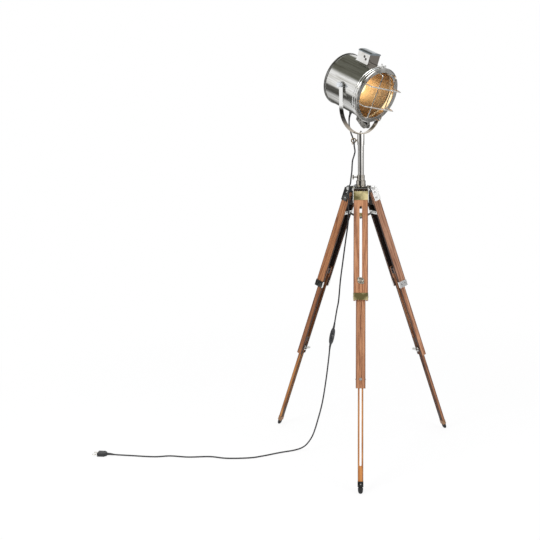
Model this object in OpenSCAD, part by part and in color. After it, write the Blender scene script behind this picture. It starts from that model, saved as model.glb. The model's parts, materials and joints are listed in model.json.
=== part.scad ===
// Tripod spotlight floor lamp, in millimetres.
// The origin is on the floor under the lamp's axis. +Z is up, and the front leg runs out to -Y.

/* [Tripod] */
// Angle between each leg and the vertical
leg_splay = 20; // [19:0.25:20.5]
// Distance from the lamp's axis to the leg hinges
hinge_r = 37; // [36.5:0.5:40]
// Distance from a leg hinge out to the face of the upper board
pin_inset = 14.5; // [13.5:0.5:16]
// Radius of the hinge barrels on the tripod head
barrel_r = 8; // [7:0.25:8.5]
// Length of the hinge barrels
barrel_len = 47; // [44:0.5:49]
// Radius of the hinge bolts
hinge_bolt_r = 4; // [3:0.25:4.5]
// Width of the arms of the tripod head
head_arm_w = 36; // [30:1:42]
// Radius of the tripod head's middle
head_core_r = 24; // [22:0.5:26]

/* [Upper boards] */
// Width of the upper board
upper_w = 52; // [49:0.5:54]
// Depth of the upper board
upper_t = 31; // [30.5:0.5:34]
// Thickness of the upper board's walls
upper_wall = 8; // [7:0.25:9]
// Length of the upper board
upper_len = 400; // [390:1:410]
// Drop from the hinge to the top of the upper board
board_drop = 13; // [12:0.5:15]
// Length of the solid end above the recess
upper_head = 49; // [44:1:52]
// Width of the slot for the upper wing screw
upper_slot_w = 9; // [8:0.25:11]
// Length of the slot past the place of the upper wing screw
upper_slot_past = 7; // [6:0.5:9]
// Drop from the board's top to the start of its slot
upper_slot_drop = 55; // [52:0.5:58]

/* [Middle boards] */
// Length of the middle board
mid_len = 395; // [385:1:405]
// Depth of the middle board
mid_t = 19.7; // [19:0.1:21]
// Thickness of the middle board's outer wall
mid_wall = 5; // [4:0.25:6]
// Length of the middle board that is held in the upper one
mid_overlap = 83; // [80:1:86]
// Length of the solid end of the middle board
mid_head = 26; // [22:1:30]
// Play between the sides of two boards
side_gap = 1; // [0.5:0.1:1.5]
// Gap between the sliding faces of two boards
slide_gap = 0.3; // [0.2:0.05:0.4]

/* [Lower boards and feet] */
// Length of the lower board
low_len = 402; // [395:1:410]
// Width of the lower board
low_w = 19; // [17:0.25:20]
// Depth of the lower board
low_t = 12.9; // [12:0.1:14]
// Length of the lower board that is held in the middle one
low_overlap = 80; // [78:1:84]
// Width of the slot for the lower wing screw
low_slot_w = 7; // [6:0.25:8.5]
// Length of the slot for the lower wing screw
low_slot_len = 327; // [322:1:332]
// Drop from the lower board's top to the start of its slot
low_slot_drop = 20; // [16:0.5:24]
// Height of the metal ferrule at the board's end
ferrule_h = 19; // [16:0.5:24]
// Wall of the ferrule around the board
ferrule_wall = 0.6; // [0.5:0.1:1.5]
// Length of the board inside the ferrule
ferrule_grip = 4; // [3:0.5:8]
// Length of the rubber tip below the ferrule
tip_len = 22.5; // [20:0.5:26]
// Share of the ferrule's width that the rubber tip keeps at the floor
tip_taper = 0.72; // [0.6:0.02:0.9]

/* [Leg fittings] */
// Sheet thickness of the bracket's cheeks
cheek_t = 2.5; // [2:0.25:3]
// Sheet thickness of the bracket's front and of the bands
sheet_t = 1.5; // [1.25:0.25:2]
// Radius of the bracket's ears around the hinge
ear_r = 11; // [9:0.5:12]
// Drop from the hinge to the bracket's lower edge
bracket_drop = 50; // [44:1:56]
// Height of the band at the upper board's lower end
band_h = 25.5; // [20:0.5:30]
// Radius of the wing screws' shanks
wing_shank_r = 3; // [2.5:0.25:3.25]
// Span of the wings
wing_span = 38; // [34:1:42]
// Height of the wing screws over the board
wing_h = 17.5; // [15:0.5:19]
// Radius of the wing screws' collars
wing_collar_r = 7.5; // [6.5:0.25:8]

/* [Brace] */
// Drop from the hinge to the brace's pin on the leg, along the leg
brace_drop = 93; // [90:0.5:98]
// Distance from the upper board's inner face to that pin
brace_stand_off = 5.5; // [5:0.25:6.5]
// Distance from the axis to the pins of the brace hub
hub_pin_r = 12; // [11:0.25:13]
// Drop from the hinges to the brace hub
hub_drop = 109; // [107:0.5:110]
// Thickness of the brace arms
brace_t = 4; // [3:0.25:5]
// Radius of the brace pins
brace_pin_r = 1.5; // [1.25:0.05:1.75]
// Travel of the hub's pin along the slot in the arm
brace_travel = 5; // [5:0.1:5.5]

/* [Mast] */
// Radius of the pole
pole_r = 11; // [10:0.25:12]
// Wall of the pole
pole_wall = 1.5; // [1.25:0.25:2.5]
// Length of the pole
pole_len = 267; // [264:1:270]
// Drop from the hinges to the pole's lower end
pole_drop = 76; // [72:1:80]
// Wall of the wide collar of the clamp
collar_wall = 6.5; // [5.5:0.25:8]
// Height of the wide collar
collar_h = 21; // [18:0.5:23]
// Wall of the narrow collar of the clamp
neck_wall = 3.25; // [2.75:0.25:4]
// Height of the narrow collar
neck_h = 20; // [18:0.5:22]
// Radius of the clamp screw's shank
clamp_shank_r = 2.5; // [2:0.25:3]
// Radius of the clamp screw's disc
clamp_disc_r = 8.5; // [7:0.25:9]
// Reach of the clamp screw from the lamp's axis
clamp_reach = 31; // [29:0.5:31]

/* [Yoke] */
// Wall of the yoke's sleeve
sleeve_wall = 1.75; // [1.5:0.25:2.5]
// Height of the yoke's sleeve
sleeve_h = 39; // [36:0.5:42]
// Thickness of the sleeve's closed top
sleeve_cap = 6.5; // [5:0.25:8]
// Inner radius of the yoke's hoop
hoop_r = 98; // [97.5:0.5:100]
// Thickness of the yoke's strap
strap_t = 3; // [2.5:0.25:4]
// Width of the yoke's strap
strap_w = 18; // [16:0.5:20]
// Height of the straight arms of the yoke
arm_h = 74.5; // [74:0.5:80]
// Outer radius of the ring that guides the cord
ring_r = 10; // [9.5:0.25:11]
// Radius of the ring's wire
ring_wire_r = 2.1; // [1.8:0.1:2.2]
// Distance from the axis to the ring's centre
ring_reach = 26.5; // [26:0.25:28]

/* [Lamp head] */
// Turn of the head about the lamp's axis, with 0 along +X
head_pan = -44.3; // [-50:0.1:-40]
// Tilt of the head, with the front down
head_tilt = 22.5; // [15:0.5:30]
// Distance from the tilt axis down to the drum's axis
drum_drop = 8; // [6:0.5:10]
// Outer radius of the drum
drum_r = 94; // [91:0.5:95]
// Wall of the drum
drum_wall = 1.5; // [1.25:0.25:2.5]
// Length of the drum behind the tilt axis
drum_back = 91.5; // [86:0.5:96]
// Length of the drum in front of the tilt axis
drum_front = 86.5; // [84:0.5:89]
// Height of the beads round the drum's mouth
bead_h = 2.5; // [1.5:0.25:3]
// Radius of the tilt knobs' shanks
knob_shank_r = 4; // [3:0.25:4.5]
// Radius of the tilt knobs
knob_r = 9; // [8:0.5:11]
// Height of the tilt knobs
knob_h = 16; // [14:0.5:20]
// Radius of the bushes between the drum and the yoke
bush_r = 11; // [9:0.5:12]

/* [Door] */
// Outer radius of the bezel
bezel_r = 100; // [99:0.5:101]
// Radius of the bezel's opening
bezel_open_r = 83; // [80:0.5:85]
// Thickness of the bezel
bezel_t = 3.5; // [3:0.25:4.5]
// Thickness of the glass
glass_t = 3; // [2.5:0.25:4]
// Radius of the guard's wires
wire_r = 2.1; // [1.75:0.1:2.5]
// Height of the guard over the bezel
guard_h = 33; // [28:0.5:36]
// Distance between the two level or the two upright wires of the guard
guard_gap = 71; // [66:0.5:76]
// Radius of the circle on which the guard's feet stand
guard_foot_r = 88; // [86.5:0.25:90]
// Turn of the guard about the drum's axis
guard_turn = -7; // [-10:0.5:0]
// Drop from the drum's axis to the door's hinge pin
door_pin_drop = 114; // [113.5:0.25:115]
// Distance from the bezel's back face to the door's hinge pin
door_pin_back = 6.5; // [6:0.25:7]
// Radius of the door's hinge pin
door_pin_r = 2.5; // [2:0.25:3]
// Width of the hinge casting
casting_w = 24; // [22:0.5:28]

/* [Junction box] */
// Length of the box along the drum
box_len = 60; // [54:1:64]
// Width of the box
box_w = 51; // [46:0.5:56]
// Height of the box's lid over the drum's axis
box_top = 133; // [128:0.5:136]
// Wall of the box
box_wall = 2; // [1.5:0.25:3]

/* [Lamp] */
// Radius of the bulb's globe
bulb_r = 30; // [25:0.5:33]
// Radius of the lampholder
holder_r = 19; // [17:0.5:22]
// Length of the lampholder
holder_len = 42; // [36:1:46]

/* [Cord] */
// Diameter of the cord
cord_d = 5.5; // [5:0.25:6]
// Length of the switch on the cord
switch_len = 60; // [56:1:60]
// Width of the switch
switch_w = 20; // [18:0.5:24]
// Depth of the switch
switch_t = 15; // [13:0.5:18]
// Length of the plug's body
plug_len = 36; // [34:0.5:40]
// Width of the plug's body
plug_w = 26; // [24:0.5:30]
// Depth of the plug's body
plug_t = 13.7; // [13:0.1:15]

/* [Hidden] */

$fn = 64;
// Azimuths of the three legs
front = -90;
right = 30;
left = 150;
legs = [front, right, left];
// Radial play of a turning or sliding fit
fit = 0.05;
// Amount that a cut runs past the face it opens
over = 1;

// Levels along a leg: distances below the hinge, measured along the leg
upper_end = board_drop + upper_len;
mid_start = upper_end - mid_overlap;
mid_end = mid_start + mid_len;
low_start = mid_end - low_overlap;
low_end = low_start + low_len;
ferrule_start = low_end - ferrule_grip;
ferrule_end = ferrule_start + ferrule_h;
tip_end = ferrule_end + tip_len;
upper_slot_start = board_drop + upper_slot_drop;
low_slot_start = low_start + low_slot_drop;
upper_screw_at = mid_start + mid_head / 2;
lower_screw_at = mid_end - 32;
upper_slot_len = upper_screw_at + upper_slot_past - upper_slot_start;

// Faces across a leg: distances out from the hinge pin
upper_in = pin_inset - upper_t;
recess_floor = pin_inset - upper_wall;
recess_w = upper_w - 2 * upper_wall;
mid_out = recess_floor - slide_gap;
mid_in = mid_out - mid_t;
mid_w = recess_w - 2 * side_gap;
mid_floor = mid_out - mid_wall;
low_out = mid_floor - slide_gap;
low_in = low_out - low_t;
low_mid = low_out - low_t / 2;

// The feet stand on the floor, and the hinges are as high as the legs then reach
hinge_z = tip_end * cos(leg_splay) - low_mid * sin(leg_splay);

// Brace: the pin on each leg, and the pin on the hub, in the leg's upright plane
lug_x = upper_in - brace_stand_off;
lug_r = hinge_r + lug_x * cos(leg_splay) + brace_drop * sin(leg_splay);
lug_z = hinge_z + lug_x * sin(leg_splay) - brace_drop * cos(leg_splay);
hub_z = hinge_z - hub_drop;
brace_len = norm([lug_r - hub_pin_r, lug_z - hub_z]);
brace_angle = atan2(lug_z - hub_z, lug_r - hub_pin_r);
brace_slot_w = 2 * brace_pin_r + 2.8;
brace_play = 0.35;

// Mast
plate_z = hinge_z - barrel_r;
plate_t = 2 * barrel_r;
collar_z = plate_z + plate_t;
neck_z = collar_z + collar_h;
clamp_screw_z = neck_z + neck_h * 0.6;
pole_z = hinge_z - pole_drop;
pole_top = pole_z + pole_len;

// Yoke
sleeve_top = pole_top + sleeve_cap;
sleeve_z = sleeve_top - sleeve_h;
hoop_z = sleeve_top + strap_t + hoop_r;
pivot_z = hoop_z + arm_h;
stud_r = 3;
ring_z = sleeve_z + 16.5;
ring_shank_r = 2.5;

// Head, along the drum's axis from the tilt axis
mouth_r = drum_r + bead_h + 1;
bezel_x = drum_front;
bezel_face = bezel_x + bezel_t;
glass_r = bezel_open_r + 5;
latch_x = bezel_x - 7.5;
lug_top = mouth_r + 2.5;
hasp_t = 1.5;
door_pin_x = bezel_x - door_pin_back;
knuckle_r = door_pin_r + 3;
gland_x = -12;
gland_r = 6;
box_mid = -2;
lid_t = 4;
holder_x = 6 - drum_back;

// Cord: hand-chosen points of its route. The first and last point of each route lie inside the
// piece that the cord comes out of.
upper_route = [[-37, 36, 1300.6], [-39.7, 38.7, 1291.4], [-42.4, 41.4, 1282.2], [-43.5, 38, 1268],
    [-43, 32, 1251], [-39, 24, 1234], [-36, 21, 1222], [-31, 14, 1209], [-26.5, 0, 1196],
    [-24.5, -10, 1186], [-24, -13, 1175], [-21.5, -15, 1157], [-25, -15, 1141], [-30, -14, 1125],
    [-32, -14, 1104], [-33, -15, 1085], [-36, -19, 1060], [-38, -22, 1042], [-42, -24, 1027],
    [-44.5, -25.5, 995], [-45, -26, 961], [-46, -26.5, 912], [-49.5, -28.5, 875], [-55, -32, 838],
    [-66, -38, 756], [-76, -44, 680], [-83, -48, 604], [-90, -52, 566], [-99.5, -57.4, 510.4],
    [-102.7, -59.3, 495.4], [-105.5, -60.9, 480.8]];
// Where the upper route passes from the head to the yoke, the mast and the stand
yoke_cut = 5;
mast_cut = 10;
stand_cut = 15;
// Gap between the level faces of the cord at the mast's cut, which turn on each other
cord_gap = 0.1;
// Upper end of the switch: distance from the axis, height, and lean of the cord there
switch_r = 118.6;
switch_z = 495.4;
switch_lean = 12.6;
floor_route = [[-111, -64, 452], [-114, -65.8, 436.8], [-116.8, -67.4, 422], [-122, -70.5, 374],
    [-132, -76.5, 296], [-146, -83, 210], [-164, -80, 138], [-183, -73, 75], [-203, -70, 38],
    [-225, -64, 14], [-258, -70, 3], [-315, -98, 3], [-377, -133, 3], [-426, -153, 3],
    [-511, -163, 3], [-580, -153, 3], [-663, -163, 3], [-735, -158, 3], [-797, -170, 3],
    [-891, -166, 3], [-950, -166, 4.5], [-974, -166, 6.6], [-988, -166, 6.85], [-1000, -166, 6.85]];

// ---- Shared shapes -------------------------------------------------------

// Places a leg's pieces: the hinge pin is at the origin and the leg runs down -Z.
module on_leg(azimuth) {
    rotate([0, 0, azimuth])
        translate([hinge_r, 0, hinge_z])
            rotate([0, -leg_splay, 0])
                children();
}

// Places the head's pieces: the tilt axis is at the origin and the drum points along +X.
module on_head() {
    translate([0, 0, pivot_z])
        rotate([0, 0, head_pan])
            rotate([0, head_tilt, 0])
                children();
}

// Turns a shape that stands along +Z to lie along the drum's axis.
module along_drum() {
    translate([0, 0, -drum_drop])
        rotate([0, 90, 0])
            children();
}

// A block given by its two opposite corners.
module block(low, high) {
    translate(low)
        cube(high - low);
}

// A rod along Y, centred on the plane Y = 0.
module rod_y(radius, length) {
    rotate([90, 0, 0])
        cylinder(r = radius, h = length, center = true);
}

// A plate in the XZ plane, centred on Y = 0.
module plate_y(thickness) {
    rotate([90, 0, 0])
        linear_extrude(height = thickness, center = true)
            children();
}

// A round-ended slot through a board, from one X to another.
module slot(x_from, x_to, start, length, width) {
    for (end = [start + width / 2, start + length - width / 2])
        translate([x_from, 0, -end])
            rotate([0, 90, 0])
                cylinder(d = width, h = x_to - x_from);
    block([x_from, -width / 2, -start - length + width / 2], [x_to, width / 2, -start - width / 2]);
}

// A wing screw that stands out along +X from its collar, with a shank behind it.
module wing_screw(shank) {
    wing_t = 4.5;
    tab_r = 5.5;
    translate([-shank, 0, 0])
        rotate([0, 90, 0])
            cylinder(r = wing_shank_r, h = shank + 1);
    rotate([0, 90, 0]) {
        cylinder(r = wing_collar_r, h = 3);
        cylinder(r1 = wing_collar_r - 1, r2 = wing_collar_r - 3, h = wing_h * 0.65);
    }
    translate([0, 0, -wing_t / 2])
        linear_extrude(height = wing_t) {
            polygon([[6.5, -4], [6.5, 4], [wing_h - 1, wing_span / 2 - tab_r],
                [wing_h - 3, 3], [wing_h - 3, -3], [wing_h - 1, tab_r - wing_span / 2]]);
            for (side = [-1, 1])
                translate([wing_h - tab_r, side * (wing_span / 2 - tab_r)])
                    circle(r = tab_r);
        }
}

// Point of a smooth curve through four neighbours, t from 0 to 1 between the middle two.
function between(a, b, c, d, t) =
    0.5 * (2 * b + (c - a) * t + (2 * a - 5 * b + 4 * c - d) * t * t + (3 * b - a - 3 * c + d) * t * t * t);

function unit(v) = v / norm(v);

// The stretch of a route between two of its points, with a number of steps between each two.
function stretch(route, first, last, steps) =
    [for (i = [first:last - 1], k = [0:steps - 1])
        between(route[i - 1], route[i], route[i + 1], route[i + 2], k / steps),
        route[last]];

// Direction at a point where stretches meet. The faces that turn on each other with the yoke are level.
function heading_at(route, i) =
    route == upper_route && i == mast_cut ? [0, 0, -1] : unit(route[i + 1] - route[i - 1]);

// Directions of that stretch. Its two end faces follow the whole route, so stretches meet flush.
function headings(route, first, last, path) =
    let (end = len(path) - 1)
    [heading_at(route, first),
        for (i = [1:end - 1]) unit(path[i + 1] - path[i - 1]),
        heading_at(route, last)];

// One ring of the tube, square to the cord's direction at that point.
function ring_at(centre, ahead, radius, sides) =
    let (across = unit(cross(ahead, [0, 1, 0])), aside = cross(ahead, across))
    [for (k = [0:sides - 1])
        centre + radius * (across * cos(360 * k / sides) + aside * sin(360 * k / sides))];

// A tube swept along a stretch of the cord's route.
module cord(route, first, last, steps) {
    sides = 8;
    path = stretch(route, first, last, steps);
    ahead = headings(route, first, last, path);
    rings = len(path);
    turning = route == upper_route && first == mast_cut ? [0, 0, -cord_gap] : [0, 0, 0];
    points = [for (i = [0:rings - 1])
        each ring_at(path[i] + (i == 0 ? turning : [0, 0, 0]), ahead[i], cord_d / 2, sides)];
    walls = [for (i = [0:rings - 2], k = [0:sides - 1])
        let (a = i * sides + k, b = i * sides + (k + 1) % sides)
        each [[a, b + sides, b], [a, a + sides, b + sides]]];
    start = [for (k = [1:sides - 2]) [0, k, k + 1]];
    far = (rings - 1) * sides;
    end = [for (k = [1:sides - 2]) [far, far + k + 1, far + k]];
    color([0.08, 0.08, 0.09])
        polyhedron(points = points, faces = concat(walls, start, end));
}

// ---- Tripod head and brace -------------------------------------------------

// Three-armed casting with a barrel for each leg and the pole's bore in its middle.
module tripod_head() {
    color([0.78, 0.79, 0.8])
        difference() {
            union() {
                translate([0, 0, plate_z])
                    cylinder(r = head_core_r, h = plate_t);
                for (azimuth = legs)
                    rotate([0, 0, azimuth]) {
                        block([0, -head_arm_w / 2, plate_z], [hinge_r, head_arm_w / 2, plate_z + plate_t]);
                        translate([hinge_r, 0, hinge_z])
                            rod_y(barrel_r, barrel_len);
                    }
            }
            translate([0, 0, plate_z - over])
                cylinder(r = pole_r + fit, h = plate_t + 2 * over);
            for (azimuth = legs)
                rotate([0, 0, azimuth])
                    translate([hinge_r, 0, hinge_z])
                        rod_y(hinge_bolt_r, barrel_len + 2 * over);
        }
}

// Stepped collar that grips the pole.
module pole_clamp() {
    chamfer = 1.2;
    wide_r = pole_r + collar_wall;
    neck_r = pole_r + neck_wall;
    color([0.72, 0.73, 0.75])
        difference() {
            union() {
                translate([0, 0, collar_z])
                    cylinder(r = wide_r, h = collar_h - chamfer);
                translate([0, 0, neck_z - chamfer])
                    cylinder(r1 = wide_r, r2 = wide_r - chamfer, h = chamfer);
                translate([0, 0, neck_z])
                    cylinder(r = neck_r, h = neck_h - chamfer);
                translate([0, 0, neck_z + neck_h - chamfer])
                    cylinder(r1 = neck_r, r2 = neck_r - chamfer, h = chamfer);
            }
            translate([0, 0, collar_z - over])
                cylinder(r = pole_r + fit, h = collar_h + neck_h + 2 * over);
            translate([0, 0, clamp_screw_z])
                rotate([0, -90, 0])
                    cylinder(r = clamp_shank_r + fit, h = neck_r + over);
        }
}

// Thumbscrew that presses on the pole.
module clamp_screw() {
    disc_t = 5;
    tip = pole_r + 0.3;
    color([0.85, 0.85, 0.86])
        translate([0, 0, clamp_screw_z])
            rotate([0, -90, 0]) {
                translate([0, 0, tip])
                    cylinder(r = clamp_shank_r, h = clamp_reach - tip - disc_t);
                translate([0, 0, clamp_reach - disc_t])
                    cylinder(r = clamp_disc_r, h = disc_t - 1);
                translate([0, 0, clamp_reach - 1])
                    cylinder(r1 = clamp_disc_r, r2 = clamp_disc_r - 1, h = 1);
            }
}

// Bolts through the three barrels, each with its two spacers, head and nut.
module hinge_bolts() {
    cheek_out = upper_w / 2 + cheek_t;
    head_r = hinge_bolt_r + 2.5;
    head_t = 3.5;
    color([0.6, 0.6, 0.62])
        for (azimuth = legs)
            rotate([0, 0, azimuth])
                translate([hinge_r, 0, hinge_z]) {
                    rod_y(hinge_bolt_r, 2 * cheek_out + 1);
                    for (side = [-1, 1]) {
                        spacer = upper_w / 2 - slide_gap - barrel_len / 2;
                        translate([0, side * (barrel_len + spacer) / 2, 0])
                            rod_y(hinge_bolt_r + 3, spacer);
                        translate([0, side * (cheek_out + slide_gap + head_t / 2), 0])
                            rod_y(head_r, head_t);
                    }
                }
}

// Small spider on the axis: a cap over the ends of the three arms, with a pair of lugs for each.
module brace_hub() {
    cap_r = 8;
    cap_z = 5.5;
    cap_t = 3.5;
    eye_r = 3.6;
    lug_t = 2;
    lug_gap = brace_t / 2 + slide_gap;
    color([0.7, 0.71, 0.72])
        translate([0, 0, hub_z]) {
            translate([0, 0, cap_z])
                cylinder(r = cap_r, h = cap_t);
            for (azimuth = legs)
                rotate([0, 0, azimuth]) {
                    for (side = [-1, 1])
                        translate([0, side * (lug_gap + lug_t / 2), 0])
                            plate_y(lug_t) {
                                polygon([[3, cap_z + 1], [3, cap_z + cap_t - 1],
                                    [cap_r - 1.5, cap_z + cap_t - 1], [hub_pin_r + eye_r - 0.8, 1.2],
                                    [hub_pin_r - eye_r + 0.8, -0.5]]);
                                translate([hub_pin_r, 0])
                                    circle(r = eye_r);
                            }
                    translate([hub_pin_r, 0, 0])
                        rod_y(brace_pin_r, 2 * (lug_gap + lug_t) + 0.6);
                }
        }
}

// Flat link from a leg to the hub, with a slot that lets the hub's pin travel.
module brace_arm(azimuth) {
    eye_r = brace_pin_r + 1.9;
    slot_wall = 2;
    near = brace_len + brace_play;
    far = brace_len - brace_travel - brace_play;
    color([0.3, 0.3, 0.31])
        rotate([0, 0, azimuth])
            translate([lug_r, 0, lug_z])
                rotate([0, -brace_angle, 0])
                    plate_y(brace_t)
                        difference() {
                            union() {
                                circle(r = eye_r);
                                translate([-near, -eye_r])
                                    square([near, 2 * eye_r]);
                                translate([-near - slot_wall - brace_pin_r, -brace_slot_w / 2 - slot_wall])
                                    square([near - far + 2 * (slot_wall + brace_pin_r),
                                        brace_slot_w + 2 * slot_wall]);
                            }
                            circle(r = brace_pin_r + fit);
                            translate([-near - brace_pin_r, -brace_slot_w / 2])
                                square([near - far + 2 * brace_pin_r, brace_slot_w]);
                        }
}

// ---- Legs ----------------------------------------------------------------

// Outer board: a channel that opens inwards, with a solid top and a slot in its face.
module upper_board(azimuth) {
    color([0.72, 0.46, 0.3])
        on_leg(azimuth)
            difference() {
                block([upper_in, -upper_w / 2, -upper_end], [pin_inset, upper_w / 2, -board_drop]);
                block([upper_in - over, -recess_w / 2, -upper_end - over],
                    [recess_floor, recess_w / 2, -board_drop - upper_head]);
                slot(recess_floor - over, pin_inset + over, upper_slot_start, upper_slot_len, upper_slot_w);
            }
}

// Middle board: a smaller channel that slides in the upper one, with a solid top.
module middle_board(azimuth) {
    color([0.68, 0.42, 0.26])
        on_leg(azimuth)
            difference() {
                block([mid_in, -mid_w / 2, -mid_end], [mid_out, mid_w / 2, -mid_start]);
                block([mid_in - over, -low_w / 2 - side_gap / 2, -mid_end - over],
                    [mid_floor, low_w / 2 + side_gap / 2, -mid_start - mid_head]);
                translate([mid_in - over, 0, -upper_screw_at])
                    rotate([0, 90, 0])
                        cylinder(r = wing_shank_r + fit, h = mid_t + 2 * over);
                translate([mid_floor - over, 0, -lower_screw_at])
                    rotate([0, 90, 0])
                        cylinder(r = wing_shank_r + fit, h = mid_wall + 2 * over);
            }
}

// Lower board: a bar with a long slot.
module lower_board(azimuth) {
    color([0.76, 0.5, 0.24])
        on_leg(azimuth)
            difference() {
                block([low_in, -low_w / 2, -low_end], [low_out, low_w / 2, -low_start]);
                slot(low_in - over, low_out + over, low_slot_start, low_slot_len, low_slot_w);
            }
}

// Metal cap that holds the rubber tip on the lower board.
module ferrule(azimuth) {
    half_w = low_w / 2 + ferrule_wall;
    color([0.75, 0.76, 0.78])
        on_leg(azimuth)
            difference() {
                block([low_in - ferrule_wall, -half_w, -ferrule_end],
                    [low_out + ferrule_wall, half_w, -ferrule_start]);
                block([low_in, -low_w / 2, -low_end], [low_out, low_w / 2, -ferrule_start + over]);
            }
}

// Tapered rubber tip, cut flat where it stands on the floor.
module foot_tip(azimuth) {
    top_w = low_w + 2 * ferrule_wall;
    top_t = low_t + 2 * ferrule_wall;
    past_floor = 12;
    drawn = tip_len + past_floor;
    taper = 1 - (1 - tip_taper) * drawn / tip_len;
    color([0.1, 0.1, 0.1])
        difference() {
            on_leg(azimuth)
                translate([low_mid, 0, -ferrule_end])
                    rotate([180, 0, 0])
                        linear_extrude(height = drawn, scale = taper)
                            square([top_t, top_w], center = true);
            rotate([0, 0, azimuth])
                block([hinge_r, -100, -100], [hinge_r + tip_end, 100, 0]);
        }
}

// Metal fittings of a leg: the hinge bracket, the band at the lower end and the brace's clip.
module leg_fittings(azimuth) {
    half_w = upper_w / 2;
    screw_r = 3;
    screw_t = 1.2;
    lip = 7;
    clip_h = 14;
    ear_gap = brace_t / 2 + slide_gap;
    ear_t = 2;
    color([0.7, 0.68, 0.6])
        on_leg(azimuth) {
            // bracket
            for (side = [-1, 1])
                translate([0, side * (half_w + cheek_t / 2), 0])
                    difference() {
                        plate_y(cheek_t) {
                            circle(r = ear_r);
                            translate([upper_in + 7, -bracket_drop])
                                square([pin_inset + sheet_t - upper_in - 7, bracket_drop]);
                        }
                        rod_y(hinge_bolt_r + fit, cheek_t + 2 * over);
                    }
            block([pin_inset, -half_w, 4 - bracket_drop], [pin_inset + sheet_t, half_w, -board_drop]);
            for (side = [-1, 1], drop = [19, 40])
                translate([0, side * (half_w + cheek_t + screw_t / 2), -drop])
                    rod_y(screw_r, screw_t);
            // band
            difference() {
                block([upper_in - sheet_t, -half_w - sheet_t, -upper_end],
                    [pin_inset + sheet_t, half_w + sheet_t, band_h - upper_end]);
                block([upper_in, -half_w, -upper_end - over], [pin_inset, half_w, band_h - upper_end + over]);
                block([upper_in - sheet_t - over, lip - half_w, -upper_end - over],
                    [upper_in + over, half_w - lip, band_h - upper_end + over]);
            }
            // clip for the brace
            block([upper_in - sheet_t, -half_w, -brace_drop - clip_h / 2],
                [upper_in, half_w, clip_h / 2 - brace_drop]);
            for (side = [-1, 1])
                translate([0, side * (ear_gap + ear_t / 2), -brace_drop])
                    plate_y(ear_t) {
                        translate([lug_x, -4])
                            square([upper_in - lug_x, 8]);
                        translate([lug_x, 0])
                            circle(r = 4);
                    }
            translate([lug_x, 0, -brace_drop])
                rod_y(brace_pin_r, 2 * (ear_gap + ear_t));
        }
}

// Wing screw that locks the middle board in the upper one.
module upper_wing(azimuth) {
    color([0.82, 0.82, 0.84])
        on_leg(azimuth)
            translate([pin_inset, 0, -upper_screw_at])
                wing_screw(pin_inset - mid_in - 3);
}

// Wing nut and bolt that lock the lower board in the middle one, on the leg's inner side.
module lower_wing(azimuth) {
    head_t = 2;
    color([0.82, 0.82, 0.84])
        on_leg(azimuth)
            translate([0, 0, -lower_screw_at]) {
                translate([low_in, 0, 0])
                    rotate([0, 0, 180])
                        wing_screw(mid_out - low_in);
                translate([mid_out, 0, 0])
                    rotate([0, 90, 0])
                        cylinder(r = wing_shank_r + 2, h = head_t);
            }
}

// ---- Mast and yoke ---------------------------------------------------------

// Round tube that carries the yoke.
module pole() {
    color([0.86, 0.87, 0.88])
        translate([0, 0, pole_z])
            difference() {
                cylinder(r = pole_r, h = pole_len);
                translate([0, 0, -over])
                    cylinder(r = pole_r - pole_wall, h = pole_len + 2 * over);
            }
}

// Sleeve that turns on the pole, with the stud and cone nut that hold the hoop on it.
module yoke_sleeve() {
    sleeve_r = pole_r + fit + sleeve_wall;
    boss_t = 2.5;
    nut_z = sleeve_top + strap_t + 0.2;
    color([0.8, 0.8, 0.82])
        difference() {
            union() {
                translate([0, 0, sleeve_z])
                    cylinder(r = sleeve_r, h = sleeve_h);
                translate([0, 0, ring_z])
                    rotate([0, -90, 0])
                        cylinder(r = ring_shank_r + 2, h = sleeve_r + boss_t);
                translate([0, 0, sleeve_top])
                    cylinder(r = stud_r, h = strap_t + 2);
                translate([0, 0, nut_z])
                    cylinder(r = 5, h = 3);
                translate([0, 0, nut_z + 3])
                    cylinder(r1 = 5, r2 = 1.5, h = 6.5);
            }
            translate([0, 0, sleeve_z - over])
                cylinder(r = pole_r + fit, h = pole_top + fit - sleeve_z + over);
            translate([0, 0, ring_z])
                rotate([0, -90, 0])
                    cylinder(r = ring_shank_r + fit, h = sleeve_r + boss_t + over);
        }
}

// Ring-headed screw that locks the sleeve and guides the cord.
module ring_screw() {
    tip = pole_r + 0.3;
    wire_path_r = ring_r - ring_wire_r;
    clasp_r = 3;
    color([0.6, 0.57, 0.5])
        translate([0, 0, ring_z]) {
            translate([-ring_reach, 0, 0])
                rotate([90, 0, 0])
                    rotate_extrude()
                        translate([wire_path_r, 0])
                            circle(r = ring_wire_r, $fn = 24);
            rotate([0, -90, 0])
                translate([0, 0, tip])
                    cylinder(r = ring_shank_r, h = ring_reach - wire_path_r - tip);
            translate([-ring_reach, 0, -ring_r - 2]) {
                sphere(r = clasp_r, $fn = 24);
                rotate([0, -90, 0])
                    cylinder(r = 1.5, h = 7);
            }
        }
}

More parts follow.
